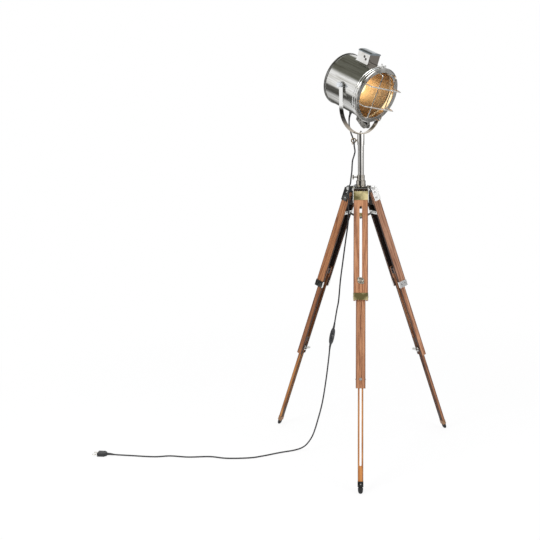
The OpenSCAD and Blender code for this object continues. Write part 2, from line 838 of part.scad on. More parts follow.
// Hoop of flat strap, with straight arms up to the tilt axis.
module yoke() {
    outer_r = hoop_r + strap_t;
    color([0.83, 0.83, 0.84])
        rotate([0, 0, head_pan])
            difference() {
                translate([0, 0, hoop_z])
                    intersection() {
                        rotate([90, 0, 90])
                            linear_extrude(height = strap_w, center = true)
                                difference() {
                                    union() {
                                        circle(r = outer_r, $fn = 128);
                                        translate([-outer_r, 0])
                                            square([2 * outer_r, arm_h + strap_w / 2]);
                                    }
                                    circle(r = hoop_r, $fn = 128);
                                    translate([-hoop_r, 0])
                                        square([2 * hoop_r, arm_h + strap_w]);
                                }
                        union() {
                            block([-strap_w / 2, -outer_r - over, -outer_r - over],
                                [strap_w / 2, outer_r + over, arm_h]);
                            translate([0, 0, arm_h])
                                rod_y(strap_w / 2, 2 * outer_r + 2 * over);
                        }
                    }
                translate([0, 0, pivot_z])
                    rod_y(knob_shank_r + fit, 2 * outer_r + 2 * over);
                translate([0, 0, sleeve_top - over])
                    cylinder(r = stud_r, h = strap_t + 2 * over);
            }
}

// Round knob on a threaded shank that holds the head's tilt, on one side of the yoke.
module tilt_knob(side) {
    arm_out = hoop_r + strap_t;
    shank_in = drum_r - drum_wall - 3;
    dome = 3;
    color([0.85, 0.86, 0.88])
        on_head()
            rotate([-90 * side, 0, 0]) {
                translate([0, 0, shank_in])
                    cylinder(r = knob_shank_r, h = arm_out - shank_in);
                translate([0, 0, arm_out])
                    cylinder(r = knob_r - 3, h = 3);
                translate([0, 0, arm_out + 3])
                    cylinder(r = knob_r, h = knob_h - 3 - dome);
                translate([0, 0, arm_out + knob_h - dome])
                    cylinder(r1 = knob_r, r2 = knob_r - dome, h = dome);
            }
}

// ---- Lamp head -------------------------------------------------------------

// Dark bushes between the drum's sides and the yoke's arms.
module pivot_bushes() {
    color([0.25, 0.2, 0.17])
        on_head()
            difference() {
                rod_y(bush_r, 2 * hoop_r);
                rod_y(knob_shank_r + fit, 2 * hoop_r + 2 * over);
                along_drum()
                    cylinder(r = drum_r, h = 4 * bush_r, center = true, $fn = 256);
            }
}

// Drum of sheet metal, with beads round its mouth and a slotted lug for the latch.
module drum() {
    inner_r = drum_r - drum_wall;
    bead_r = drum_r + bead_h;
    lug_foot = latch_x - 17;
    lug_w = 14;
    color([0.8, 0.81, 0.82])
        on_head()
            difference() {
                union() {
                    along_drum()
                        rotate_extrude($fn = 96)
                            polygon([[inner_r, -drum_back], [drum_r, -drum_back],
                                [drum_r, drum_front - 27], [bead_r - 0.5, drum_front - 26],
                                [bead_r - 0.5, drum_front - 21], [drum_r + 0.5, drum_front - 20],
                                [drum_r + 0.5, drum_front - 17], [bead_r, drum_front - 16],
                                [bead_r, drum_front - 11], [drum_r + 1, drum_front - 10],
                                [drum_r + 1, drum_front - 7], [mouth_r, drum_front - 5.5],
                                [mouth_r, drum_front], [inner_r, drum_front]]);
                    // latch lug
                    translate([0, 0, -drum_drop]) {
                        block([lug_foot, -lug_w / 2, drum_r - 1], [lug_foot + 2, lug_w / 2, lug_top]);
                        block([lug_foot, -lug_w / 2, lug_top - 1.5],
                            [drum_front - 2.5, lug_w / 2, lug_top]);
                    }
                }
                // slot of the lug, open to the front
                translate([0, 0, -drum_drop]) {
                    block([latch_x, -3, lug_top - 2], [drum_front, 3, lug_top + over]);
                    translate([latch_x, 0, lug_top - 2])
                        cylinder(r = 3, h = 2 + over);
                }
                rod_y(knob_shank_r + fit, 2 * drum_r + 2 * over);
                // hole for the cord's gland
                translate([gland_x, 0, -drum_drop])
                    rotate([180, 0, 0])
                        cylinder(r = gland_r - 1.5, h = drum_r + over);
            }
}

// Pressed cap with a rolled rim that closes the back of the drum.
module back_cap() {
    cap_t = 1.5;
    skirt = 7;
    rim_r = drum_r + cap_t;
    color([0.35, 0.35, 0.36])
        on_head()
            along_drum()
                rotate_extrude($fn = 96)
                    polygon([[0, -drum_back - cap_t - 1.5], [40, -drum_back - cap_t - 1.5],
                        [44, -drum_back - cap_t], [rim_r + 0.6, -drum_back - cap_t],
                        [rim_r + 1.2, -drum_back], [rim_r, 1.5 - drum_back],
                        [rim_r, skirt - drum_back], [drum_r, skirt - drum_back],
                        [drum_r, -drum_back], [0, -drum_back]]);
}

// Wiring box on top of the drum, with the tabs that hold it there.
module junction_box() {
    side = box_w / 2;
    back = box_mid - box_len / 2;
    ahead = box_mid + box_len / 2;
    floor_z = drum_r - 6;
    rim_z = box_top - lid_t - 4;
    flange = 1.5;
    color([0.82, 0.83, 0.85])
        on_head()
            translate([0, 0, -drum_drop])
                difference() {
                    union() {
                        block([back, -side, floor_z], [ahead, side, rim_z]);
                        block([back - flange, -side - flange, drum_r - 4.5],
                            [ahead + flange, side + flange, drum_r - 1.5]);
                        // tab with its screw
                        block([ahead, -side, drum_r - 4.5], [ahead + 9, -side + 12, drum_r - 1.5]);
                        translate([ahead + 5, -side + 6, drum_r - 1.5])
                            cylinder(r = 2.5, h = 1.2);
                    }
                    block([back + box_wall, -side + box_wall, drum_r + box_wall],
                        [ahead - box_wall, side - box_wall, rim_z + over]);
                    rotate([0, 90, 0])
                        cylinder(r = drum_r, h = 3 * box_len, center = true, $fn = 256);
                }
}

// Lid of the wiring box: a shallow dome across the box that overhangs its walls.
module junction_lid() {
    side = box_w / 2 + 1;
    back = box_mid - box_len / 2 - 1;
    ahead = box_mid + box_len / 2 + 1.5;
    rim_z = box_top - lid_t - 4;
    dome_r = (side * side + lid_t * lid_t) / (2 * lid_t);
    color([0.62, 0.66, 0.7])
        on_head()
            translate([0, 0, -drum_drop])
                intersection() {
                    block([back, -side, rim_z], [ahead, side, box_top]);
                    translate([back - over, 0, box_top - dome_r])
                        rotate([0, 90, 0])
                            cylinder(r = dome_r, h = ahead - back + 2 * over, $fn = 96);
                }
}

// Spun reflector, gold inside, held by its rim against the drum.
module reflector() {
    steps = 12;
    sheet = 1;
    throat_r = holder_r + 2;
    rim_r = drum_r - drum_wall;
    throat_x = holder_x + holder_len - 4;
    rim_x = drum_front - 28;
    depth = rim_x - throat_x;
    curve = [for (i = [0:steps]) let (r = throat_r + (rim_r - 3 - throat_r) * i / steps)
        [r, throat_x + depth * pow((r - throat_r) / (rim_r - 3 - throat_r), 2)]];
    back_curve = [for (i = [steps:-1:0]) curve[i] + [sheet, -sheet]];
    color([0.85, 0.65, 0.3])
        on_head()
            along_drum()
                rotate_extrude($fn = 96)
                    polygon(concat(curve, [[rim_r, rim_x], [rim_r, rim_x - sheet]], back_curve));
}

// Lampholder on the back cap, with the socket that takes the bulb's base.
module lamp_holder() {
    base_r = holder_r + 5;
    base_t = 6;
    socket_r = 13.2;
    color([0.9, 0.88, 0.82])
        on_head()
            along_drum()
                rotate_extrude()
                    polygon([[0, -drum_back], [base_r, -drum_back], [base_r, base_t - drum_back],
                        [holder_r, base_t - drum_back], [holder_r, holder_x + holder_len],
                        [socket_r, holder_x + holder_len], [socket_r, holder_x + 12],
                        [0, holder_x + 12]]);
}

// Globe bulb with its screw base in the lampholder.
module bulb() {
    base_r = 13.2;
    base_end = holder_x + 12;
    base_len = holder_len - 11;
    globe_x = base_end + base_len + 0.9 * bulb_r;
    color([1, 0.93, 0.75])
        on_head()
            along_drum()
                rotate_extrude()
                    union() {
                        translate([0, base_end])
                            square([base_r, base_len]);
                        intersection() {
                            translate([0, globe_x])
                                circle(r = bulb_r);
                            translate([0, globe_x - bulb_r])
                                square([bulb_r, 2 * bulb_r]);
                        }
                    }
}

// Gland where the cord leaves the drum.
module cord_gland() {
    gland_out = 14;
    color([0.2, 0.2, 0.21])
        on_head()
            translate([gland_x, 0, -drum_drop])
                rotate([180, 0, 0])
                    difference() {
                        union() {
                            translate([0, 0, drum_r - 4])
                                cylinder(r = gland_r - 1.5, h = 6);
                            translate([0, 0, drum_r + 0.4])
                                cylinder(r = gland_r, h = 6);
                            translate([0, 0, drum_r + 6.4])
                                cylinder(r1 = gland_r, r2 = cord_d / 2 + 1, h = gland_out - 6.4);
                        }
                        translate([0, 0, drum_r - 5])
                            cylinder(r = cord_d / 2, h = 5 + gland_out - 2);
                    }
}

// Casting under the drum that holds the door's hinge pin.
module door_hinge() {
    half_w = casting_w / 2;
    pin = [door_pin_x, -door_pin_drop];
    back = door_pin_x - 46;
    gap = 5.3;
    color([0.55, 0.54, 0.5])
        on_head()
            translate([0, 0, -drum_drop])
                difference() {
                    union() {
                        plate_y(casting_w) {
                            polygon([[back, -drum_r + 3], [back, -drum_r - 15],
                                [pin[0] - 12, pin[1] - 10], [pin[0] + 2, pin[1] - 12],
                                [pin[0] + 8, pin[1] - 7], [pin[0] + 8, pin[1]],
                                [pin[0], pin[1] + 8], [pin[0] - 8, pin[1] + 8], [pin[0] - 12, -drum_r + 3]]);
                            translate(pin)
                                circle(r = 8);
                        }
                        // heads of the cross screws
                        for (along = [back + 7, back + 19])
                            translate([along, 0, -drum_r - 10])
                                rod_y(3.5, casting_w + 4);
                        translate([pin[0], 0, pin[1]])
                            rod_y(door_pin_r + 1.5, casting_w + 3);
                    }
                    // gap for the door's knuckle
                    block([pin[0] - 9, -gap, pin[1] - 20], [pin[0] + 20, gap, pin[1] + 20]);
                    rotate([0, 90, 0])
                        cylinder(r = drum_r, h = 2 * door_pin_x, $fn = 256);
                    translate([drum_front - 27.5, 0, 0])
                        rotate([0, 90, 0])
                            cylinder(r = mouth_r, h = door_pin_x, $fn = 256);
                    // rib grooves on the underside
                    for (along = [back + 12, back + 24])
                        block([along, -half_w - over, -drum_r - 30], [along + 2.5, half_w + over, -drum_r - 17]);
                }
    color([0.8, 0.8, 0.8])
        on_head()
            translate([pin[0], 0, pin[1] - drum_drop])
                rod_y(door_pin_r, 2 * gap + 2);
}

// Front ring of the door, with the hasp of the latch and the hinge's knuckle.
module bezel() {
    seat_r = glass_r + 0.1;
    pin = [door_pin_x, -door_pin_drop];
    hasp_w = 12;
    hasp_back = latch_x - 7;
    color([0.75, 0.76, 0.78])
        on_head() {
            difference() {
                union() {
                    along_drum()
                        rotate_extrude($fn = 96)
                            polygon([[bezel_open_r, bezel_x], [bezel_open_r, bezel_face - 1],
                                [bezel_open_r + 1, bezel_face], [bezel_r - 3, bezel_face],
                                [bezel_r, bezel_face - 1.5], [bezel_r, bezel_x],
                                [seat_r + 1.8, bezel_x], [seat_r + 1.8, bezel_x - glass_t - 0.5],
                                [seat_r, bezel_x - glass_t - 0.5], [seat_r, bezel_x]]);
                    translate([0, 0, -drum_drop]) {
                        block([hasp_back, -hasp_w / 2, lug_top], [bezel_face - 0.5, hasp_w / 2, lug_top + hasp_t]);
                        block([bezel_x, -hasp_w / 2, bezel_r - 3], [bezel_face - 0.5, hasp_w / 2, lug_top + hasp_t]);
                        plate_y(10) {
                            translate(pin)
                                circle(r = knuckle_r);
                            polygon([[pin[0], pin[1] + knuckle_r], [pin[0] - 1, pin[1] + 3],
                                [bezel_face - 0.5, pin[1] + 3], [bezel_face - 0.5, 3 - bezel_r],
                                [bezel_x, 3 - bezel_r], [bezel_x, pin[1] + knuckle_r]]);
                        }
                    }
                }
                translate([latch_x, 0, lug_top - drum_drop - over])
                    cylinder(r = 2.5 + fit, h = hasp_t + 2 * over);
                translate([pin[0], 0, pin[1] - drum_drop])
                    rod_y(door_pin_r + fit, 12);
            }
        }
}

// Flat front glass.
module glass() {
    color([0.95, 0.9, 0.75, 0.35])
        on_head()
            along_drum()
                translate([0, 0, bezel_x - glass_t])
                    cylinder(r = glass_r, h = glass_t, $fn = 96);
}

// One wire of the guard: straight across at full height, with both ends bent back to the bezel.
module guard_wire(shift, height) {
    bend_r = 8;
    rise = height - wire_r;
    half = sqrt(guard_foot_r * guard_foot_r - shift * shift);
    translate([0, shift, bezel_face]) {
        translate([0, 0, rise])
            rotate([0, 90, 0])
                cylinder(r = wire_r, h = 2 * (half - bend_r), center = true);
        for (side = [-1, 1]) {
            translate([side * (half - bend_r), 0, rise - bend_r])
                rotate([90, 0, 0])
                    rotate([0, 0, side > 0 ? 0 : 90])
                        rotate_extrude(angle = 90)
                            translate([bend_r, 0])
                                circle(r = wire_r, $fn = 24);
            translate([side * half, 0, 0])
                cylinder(r = wire_r, h = rise - bend_r);
        }
    }
}

// Guard of two upright wires and two level ones that cross over them.
module guard() {
    off = guard_gap / 2;
    color([0.9, 0.9, 0.91])
        on_head()
            along_drum()
                rotate([0, 0, 90 + guard_turn])
                    for (shift = [-off - 1.5, off - 1.5]) {
                        guard_wire(shift, guard_h);
                        rotate([0, 0, 90])
                            guard_wire(shift + 5, guard_h - 1.6 * wire_r);
                    }
}

// Wing screw that locks the door's hasp to the drum's lug.
module latch_screw() {
    wing_t = 3;
    wing_half = 11.5;
    seat_z = lug_top + hasp_t;
    color([0.82, 0.82, 0.84])
        on_head()
            translate([latch_x, 0, seat_z - drum_drop]) {
                translate([0, 0, -hasp_t - 1.9])
                    cylinder(r = 2.5, h = hasp_t + 4);
                cylinder(r = 4.5, h = 2.5);
                plate_y(wing_t) {
                    polygon([[-3, 2], [3, 2], [wing_half - 3, 5], [0, 5], [3 - wing_half, 5]]);
                    for (side = [-1, 1])
                        translate([side * (wing_half - 3), 5])
                            circle(r = 3);
                }
            }
}

// ---- Cord ------------------------------------------------------------------

// Stretch that leaves the gland and tilts with the head.
module cord_head() {
    cord(upper_route, 1, yoke_cut, 2);
}

// Stretch that passes through the ring.
module cord_yoke() {
    cord(upper_route, yoke_cut, mast_cut, 2);
}

// Stretch beside the mast.
module cord_mast() {
    cord(upper_route, mast_cut, stand_cut, 2);
}

// Stretch that hangs between the legs down to the switch.
module cord_hang() {
    cord(upper_route, stand_cut, len(upper_route) - 2, 1);
}

// Stretch from the switch down to the floor and along it to the plug.
module cord_floor() {
    cord(floor_route, 1, len(floor_route) - 2, 1);
}

// Places the switch: its upper end is at the origin and it runs down -Z along the cord.
module on_switch() {
    rotate([0, 0, 210])
        translate([switch_r, 0, switch_z])
            rotate([0, -switch_lean, 0])
                children();
}

// Switch housing on the cord, open where the rocker sits.
module switch_body() {
    color([0.1, 0.1, 0.1])
        on_switch()
            difference() {
                union() {
                    block([-switch_w / 2, -switch_t / 2, 6 - switch_len], [switch_w / 2, switch_t / 2, -6]);
                    translate([0, 0, -6])
                        cylinder(r1 = switch_t / 2, r2 = cord_d / 2 + 1, h = 6);
                    translate([0, 0, -switch_len])
                        cylinder(r2 = switch_t / 2, r1 = cord_d / 2 + 1, h = 6);
                }
                block([-5.5, switch_t / 2 - 5, -switch_len / 2 - 9], [5.5, switch_t / 2 + over, 9 - switch_len / 2]);
            }
}

// Rocker of the switch, tipped to its off side.
module switch_rocker() {
    rock = 8;
    color([0.18, 0.18, 0.18])
        on_switch()
            translate([0, switch_t / 2 - 2, -switch_len / 2])
                rotate([0, 90, 0])
                    linear_extrude(height = 10, center = true)
                        rotate([0, 0, rock])
                            polygon([[-7.5, 2], [0, 3], [7.5, 2], [7, 0], [0, -1.5], [-7, 0]]);
}

// Flat two-pin plug at the cord's end.
module plug() {
    back = floor_route[len(floor_route) - 2];
    pin_gap = 19;
    pin_len = 19;
    mid_z = plug_t / 2;
    color([0.1, 0.1, 0.1])
        translate([back[0], back[1], 0]) {
            linear_extrude(height = plug_t)
                polygon([[0, 5], [-10, plug_w / 2], [-plug_len, plug_w / 2], [-plug_len, -plug_w / 2],
                    [-10, -plug_w / 2], [0, -5]]);
            for (side = [-1, 1])
                translate([-plug_len, side * pin_gap / 2, mid_z])
                    rotate([0, -90, 0])
                        cylinder(r = 2, h = pin_len);
        }
}

tripod_head();
pole_clamp();
clamp_screw();
hinge_bolts();
brace_hub();
leg_fittings(front);  // leg_fittings_front
leg_fittings(right);  // leg_fittings_right
leg_fittings(left);  // leg_fittings_left
upper_board(front);  // upper_board_front
upper_board(right);  // upper_board_right
upper_board(left);  // upper_board_left
middle_board(front);  // middle_board_front
middle_board(right);  // middle_board_right
middle_board(left);  // middle_board_left
lower_board(front);  // lower_board_front
lower_board(right);  // lower_board_right
lower_board(left);  // lower_board_left
ferrule(front);  // ferrule_front
ferrule(right);  // ferrule_right
ferrule(left);  // ferrule_left
foot_tip(front);  // foot_tip_front
foot_tip(right);  // foot_tip_right
foot_tip(left);  // foot_tip_left
upper_wing(front);  // upper_wing_front
upper_wing(right);  // upper_wing_right
upper_wing(left);  // upper_wing_left
lower_wing(front);  // lower_wing_front
lower_wing(right);  // lower_wing_right
lower_wing(left);  // lower_wing_left
brace_arm(front);  // brace_arm_front
brace_arm(right);  // brace_arm_right
brace_arm(left);  // brace_arm_left
pole();
yoke_sleeve();
ring_screw();
yoke();
tilt_knob(-1);  // tilt_knob_left
tilt_knob(1);  // tilt_knob_right
pivot_bushes();
drum();
back_cap();
junction_box();
junction_lid();
reflector();
lamp_holder();
bulb();
cord_gland();
door_hinge();
bezel();
glass();
guard();
latch_screw();
cord_head();
cord_yoke();
cord_mast();
cord_hang();
switch_body();
switch_rocker();
cord_floor();
plug();
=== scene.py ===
import json
import math
import bpy
from mathutils import Euler, Matrix, Vector

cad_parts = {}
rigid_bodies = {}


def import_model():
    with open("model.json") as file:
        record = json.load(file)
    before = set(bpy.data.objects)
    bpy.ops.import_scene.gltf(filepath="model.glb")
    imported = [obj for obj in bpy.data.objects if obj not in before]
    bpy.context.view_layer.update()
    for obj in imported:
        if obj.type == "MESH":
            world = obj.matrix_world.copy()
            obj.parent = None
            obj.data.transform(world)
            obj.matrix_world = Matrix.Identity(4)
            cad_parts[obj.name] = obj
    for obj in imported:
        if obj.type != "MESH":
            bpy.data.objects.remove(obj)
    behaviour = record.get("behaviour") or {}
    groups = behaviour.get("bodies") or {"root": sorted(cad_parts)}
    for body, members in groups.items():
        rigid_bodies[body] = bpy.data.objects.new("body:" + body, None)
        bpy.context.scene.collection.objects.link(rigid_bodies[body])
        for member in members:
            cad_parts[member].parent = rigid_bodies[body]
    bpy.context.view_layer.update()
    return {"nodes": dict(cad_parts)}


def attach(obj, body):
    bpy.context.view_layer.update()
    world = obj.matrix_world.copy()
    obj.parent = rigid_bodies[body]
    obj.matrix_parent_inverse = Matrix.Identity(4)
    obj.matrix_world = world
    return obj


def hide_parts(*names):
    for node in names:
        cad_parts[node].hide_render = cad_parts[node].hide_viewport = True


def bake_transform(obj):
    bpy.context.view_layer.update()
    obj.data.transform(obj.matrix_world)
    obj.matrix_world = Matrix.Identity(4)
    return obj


for thing in list(bpy.data.objects):
    bpy.data.objects.remove(thing)
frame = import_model()
nodes = frame["nodes"]

# ---- Camera, floor and light ----------------------------------------------
# A studio still: the camera stands nearly 3 m in front of the lamp at eye height and looks a
# little down and to the left. The paper floor runs out to white, and the light is soft.
camera_place = (0.00633, -2.82119, 1.24859)
camera_yaw = -0.12493
camera_pitch = 0.18724
camera_roll = -0.02261
focal_length = 49.99
film_width = 36
ahead = Vector((math.sin(camera_yaw) * math.cos(camera_pitch),
                math.cos(camera_yaw) * math.cos(camera_pitch), -math.sin(camera_pitch)))
level = Vector((math.cos(camera_yaw), -math.sin(camera_yaw), 0))
upright = level.cross(ahead)
across = math.cos(camera_roll) * level + math.sin(camera_roll) * upright
above = math.cos(camera_roll) * upright - math.sin(camera_roll) * level
lens = bpy.data.cameras.new("camera")
lens.lens = focal_length
lens.sensor_width = film_width
camera = bpy.data.objects.new("camera", lens)
bpy.context.scene.collection.objects.link(camera)
camera.matrix_world = Matrix((
    (across.x, above.x, -ahead.x, camera_place[0]), (across.y, above.y, -ahead.y, camera_place[1]),
    (across.z, above.z, -ahead.z, camera_place[2]), (0, 0, 0, 1)))
bpy.context.scene.camera = camera
bpy.context.scene.view_settings.view_transform = "Standard"


def put(tree, kind, options=None, **values):
    """Adds a node, sets its options, and fills or joins its inputs by name or number."""
    node = tree.nodes.new(kind)
    for key, value in (options or {}).items():
        setattr(node, key, value)
    for key, value in values.items():
        socket = node.inputs[int(key[1:]) if key[1:].isdigit() else key.replace("_", " ")]
        if isinstance(value, bpy.types.NodeSocket):
            tree.links.new(value, socket)
        else:
            socket.default_value = value
    return node


def maths(tree, operation, *numbers):
    """Adds a maths node for some numbers or sockets, and gives its result."""
    node = put(tree, "ShaderNodeMath", {"operation": operation},
               **{f"_{place}": number for place, number in enumerate(numbers)})
    return node.outputs[0]


def scaled(tree, value, low, high, from_low=0.0, from_high=1.0, soft=False):
    """Maps a value from one range to another, with eased ends where soft."""
    kind = {"interpolation_type": "SMOOTHSTEP"} if soft else {}
    return put(tree, "ShaderNodeMapRange", kind, Value=value, From_Min=from_low,
               From_Max=from_high, To_Min=low, To_Max=high).outputs["Result"]


def mix(tree, share, first, second):
    """Mixes two colours by a share from 0 to 1, and gives the colour."""
    return put(tree, "ShaderNodeMixRGB", Fac=share, Color1=first, Color2=second).outputs["Color"]


def ramp(tree, factor, stops):
    """Adds a colour ramp with the given stops."""
    node = put(tree, "ShaderNodeValToRGB", Fac=factor)
    points = node.color_ramp.elements
    while len(points) < len(stops):
        points.new(0.5)
    for point, (place, colour) in zip(points, stops):
        point.position = place
        point.color = (*colour, 1)
    return node.outputs["Color"]


world = bpy.data.worlds.new("studio")
bpy.context.scene.world = world
world.use_nodes = True
tree = world.node_tree
tree.nodes.clear()
direction = put(tree, "ShaderNodeTexCoord").outputs["Generated"]
axes = put(tree, "ShaderNodeSeparateXYZ", _0=direction)
height = scaled(tree, axes.outputs["Z"], 0.0, 1.0, -1.0, 1.0)
walls = ramp(tree, height, [
    (0.0, (0.34, 0.31, 0.24)), (0.14, (0.3, 0.26, 0.18)), (0.2, (0.05, 0.048, 0.04)),
    (0.255, (0.06, 0.058, 0.05)), (0.275, (0.75, 0.75, 0.75)), (0.3, (0.7, 0.7, 0.7)),
    (0.33, (0.09, 0.088, 0.08)), (0.43, (0.12, 0.118, 0.11)), (0.46, (1.0, 1.0, 1.0)),
    (0.78, (1.0, 1.0, 1.0)), (0.84, (0.17, 0.17, 0.14)), (1.0, (0.13, 0.13, 0.105))])
# A dark flag stands behind the camera, and a dark wall behind the lamp fills level reflections.
flag = put(tree, "ShaderNodeVectorMath", {"operation": "DOT_PRODUCT"}, _0=direction,
           _1=(-0.36, -0.93, 0.0)).outputs["Value"]
room = mix(tree, scaled(tree, flag, 0.0, 1.0, 0.8, 0.93, True), walls, (0.05, 0.05, 0.048, 1))
behind = scaled(tree, axes.outputs["Y"], 0.0, 0.9, 0.08, 0.34, True)
slope = maths(tree, "ABSOLUTE", axes.outputs["Z"])
near_level = scaled(tree, slope, 1.0, 0.0, 0.1, 0.2, True)
room = mix(tree, maths(tree, "MULTIPLY", behind, near_level), room, (0.09, 0.085, 0.075, 1))
light_path = put(tree, "ShaderNodeLightPath")
glossy = mix(tree, light_path.outputs["Is Glossy Ray"], (0.85, 0.85, 0.86, 1), room)
seen = mix(tree, light_path.outputs["Is Camera Ray"], glossy, (1, 1, 1, 1))
sky = put(tree, "ShaderNodeBackground", Color=seen, Strength=1.0)
put(tree, "ShaderNodeOutputWorld", Surface=sky.outputs["Background"])

bpy.ops.object.select_all(action="DESELECT")
bpy.ops.mesh.primitive_circle_add(vertices=96, radius=2.2, fill_type="NGON",
                                  location=(0, 0, -0.0003))
floor = bpy.context.active_object
floor.name = "floor"
bpy.ops.object.transform_apply(location=True)
paper = bpy.data.materials.new("paper")
paper.use_nodes = True
tree = paper.node_tree
tree.nodes.clear()
light_path = put(tree, "ShaderNodeLightPath")
seen = maths(tree, "MAXIMUM", light_path.outputs["Is Camera Ray"],
             light_path.outputs["Is Transmission Ray"])
place = put(tree, "ShaderNodeTexCoord").outputs["Object"]
reach = put(tree, "ShaderNodeVectorMath", {"operation": "LENGTH"}, _0=place).outputs["Value"]
share = maths(tree, "MULTIPLY", seen, scaled(tree, reach, 0.85, 1.0, 1.0, 2.1))
white = put(tree, "ShaderNodeEmission", Color=(1, 1, 1, 1), Strength=1.0)
matt = put(tree, "ShaderNodeBsdfDiffuse", Color=(0.93, 0.93, 0.93, 1))
both = put(tree, "ShaderNodeMixShader", Fac=share, _1=matt.outputs[0], _2=white.outputs[0])
put(tree, "ShaderNodeOutputMaterial", Surface=both.outputs[0])
floor.data.materials.append(paper)


def soft_box(name, place, aim, size, power):
    """A square soft box that faces a point."""
    data = bpy.data.lights.new(name, "AREA")
    data.size = size
    data.energy = power
    lamp = bpy.data.objects.new(name, data)
    bpy.context.scene.collection.objects.link(lamp)
    lamp.location = place
    lamp.rotation_euler = (Vector(aim) - Vector(place)).to_track_quat("-Z", "Y").to_euler()


soft_box("key_light", (-2.2, -2.4, 2.9), (0, 0, 0.9), 1.6, 55)
soft_box("fill_light", (2.4, -1.8, 1.8), (0, 0, 0.9), 1.4, 22)


# ---- Cord -------------------------------------------------------------------
# Black round mains cord, 5.5 mm thick. It leaves the gland under the drum, goes through the
# ring, hangs between the legs to the switch, and lies along the floor to its plug.
cord_d = 0.0055
upper_route = [
    (-37, 36, 1300.6), (-39.7, 38.7, 1291.4), (-42.4, 41.4, 1282.2), (-43.5, 38, 1268),
    (-43, 32, 1251), (-39, 24, 1234), (-36, 21, 1222), (-31, 14, 1209), (-26.5, 0, 1196),
    (-24.5, -10, 1186), (-24, -13, 1175), (-21.5, -15, 1157), (-25, -15, 1141),
    (-30, -14, 1125), (-32, -14, 1104), (-33, -15, 1085), (-36, -19, 1060), (-38, -22, 1042),
    (-42, -24, 1027), (-44.5, -25.5, 995), (-45, -26, 961), (-46, -26.5, 912),
    (-49.5, -28.5, 875), (-55, -32, 838), (-66, -38, 756), (-76, -44, 680), (-83, -48, 604),
    (-90, -52, 566), (-99.5, -57.4, 510.4), (-102.7, -59.3, 495.4), (-105.5, -60.9, 480.8)]
floor_route = [
    (-111, -64, 452), (-114, -65.8, 436.8), (-116.8, -67.4, 422), (-122, -70.5, 374),
    (-132, -76.5, 296), (-146, -83, 210), (-164, -80, 138), (-183, -73, 75), (-203, -70, 38),
    (-225, -64, 14), (-258, -70, 3), (-315, -98, 3), (-377, -133, 3), (-426, -153, 3),
    (-511, -163, 3), (-580, -153, 3), (-663, -163, 3), (-735, -158, 3), (-797, -170, 3),
    (-891, -166, 3), (-950, -166, 4.5), (-974, -166, 6.6), (-988, -166, 6.85),
    (-1000, -166, 6.85)]


def smooth_stretch(route, first, last, steps):
    """The points of a smooth curve through a stretch of a route, in metres."""
    points = []
    for i in range(first, last):
        a, b, c, d = (Vector(route[j]) / 1000 for j in (i - 1, i, i + 1, i + 2))
        for k in range(steps):
            t = k / steps
            points.append(0.5 * (2 * b + (c - a) * t + (2 * a - 5 * b + 4 * c - d) * t * t
                                 + (3 * b - a - 3 * c + d) * t ** 3))
    points.append(Vector(route[last]) / 1000)
    return points


def lay_cord(name, points, swell=None):
    """A round tube along the points; swell gives its thickness there as shares of the cord's."""
    curve = bpy.data.curves.new(name, "CURVE")
    curve.dimensions = "3D"
    line = curve.splines.new("POLY")
    line.points.add(len(points) - 1)
    for number, (spot, point) in enumerate(zip(line.points, points)):
        spot.co = (*point, 1)
        spot.radius = swell[number] if swell else 1.0
    curve.bevel_depth = cord_d / 2
    curve.bevel_resolution = 4
    curve.use_fill_caps = True
    piece = bpy.data.objects.new(name, curve)
    bpy.context.scene.collection.objects.link(piece)
    bpy.ops.object.select_all(action="DESELECT")
    piece.select_set(True)
    bpy.context.view_layer.objects.active = piece
    bpy.ops.object.convert(target="MESH")
    bpy.ops.object.shade_smooth_by_angle(angle=math.radians(50))
    return bpy.context.active_object


def new_finish(name):
    """An empty material: its node tree and its shader."""
    material = bpy.data.materials.new(name)
    material.use_nodes = True
    tree = material.node_tree
    return material, tree, tree.nodes["Principled BSDF"]


def dress(piece, material):
    """Gives the whole of a piece one material."""
    piece.data.materials.clear()
    piece.data.materials.append(material)


def noise(tree, place, scale, detail, **more):
    """Adds a cloudy pattern, and gives its value."""
    return put(tree, "ShaderNodeTexNoise", Vector=place, Scale=scale, Detail=detail,
               **more).outputs["Fac"]


def join_up(tree, shader, colour, rough, relief=None, strength=0.0, depth=0.0):
    """Joins a colour, a roughness and, where there is one, a fine relief to a shader."""
    tree.links.new(colour, shader.inputs["Base Color"])
    tree.links.new(rough, shader.inputs["Roughness"])
    if relief is not None:
        bump = put(tree, "ShaderNodeBump", Height=relief, Strength=strength, Distance=depth)
        tree.links.new(bump.outputs["Normal"], shader.inputs["Normal"])


def moulded(name, colour, light, rough, grain):
    """A plastic or rubber with a fine moulded grain and faint handling marks."""
    material, tree, shader = new_finish(name)
    place = put(tree, "ShaderNodeTexCoord").outputs["Object"]
    marks = noise(tree, place, grain / 12, 4.0)
    fine = noise(tree, place, grain, 2.0)
    join_up(tree, shader, ramp(tree, marks, [(0.3, colour), (0.75, light)]),
            scaled(tree, marks, rough - 0.08, rough + 0.12), fine, 0.25, 0.0004)
    return material


def sleeve_on(points, length, thick, thin):
    """Evenly spaced points over the first stretch of a cord, and a ribbed taper for them."""
    along, walked, last = [points[0]], 0.0, points[0]
    step, rest = 0.0008, 0.0008
    for point in points[1:]:
        gap = (point - last).length
        while rest <= gap and walked < length:
            along.append(last + (point - last) * (rest / gap))
            walked += step
            rest += step
        rest -= gap
        last = point
        if walked >= length:
            break
    count = len(along) - 1
    swell = [(thick + (thin - thick) * k / count) * (0.9 if k % 5 == 3 and k < count - 3 else 1.0)
             for k in range(count + 1)]
    return along, swell


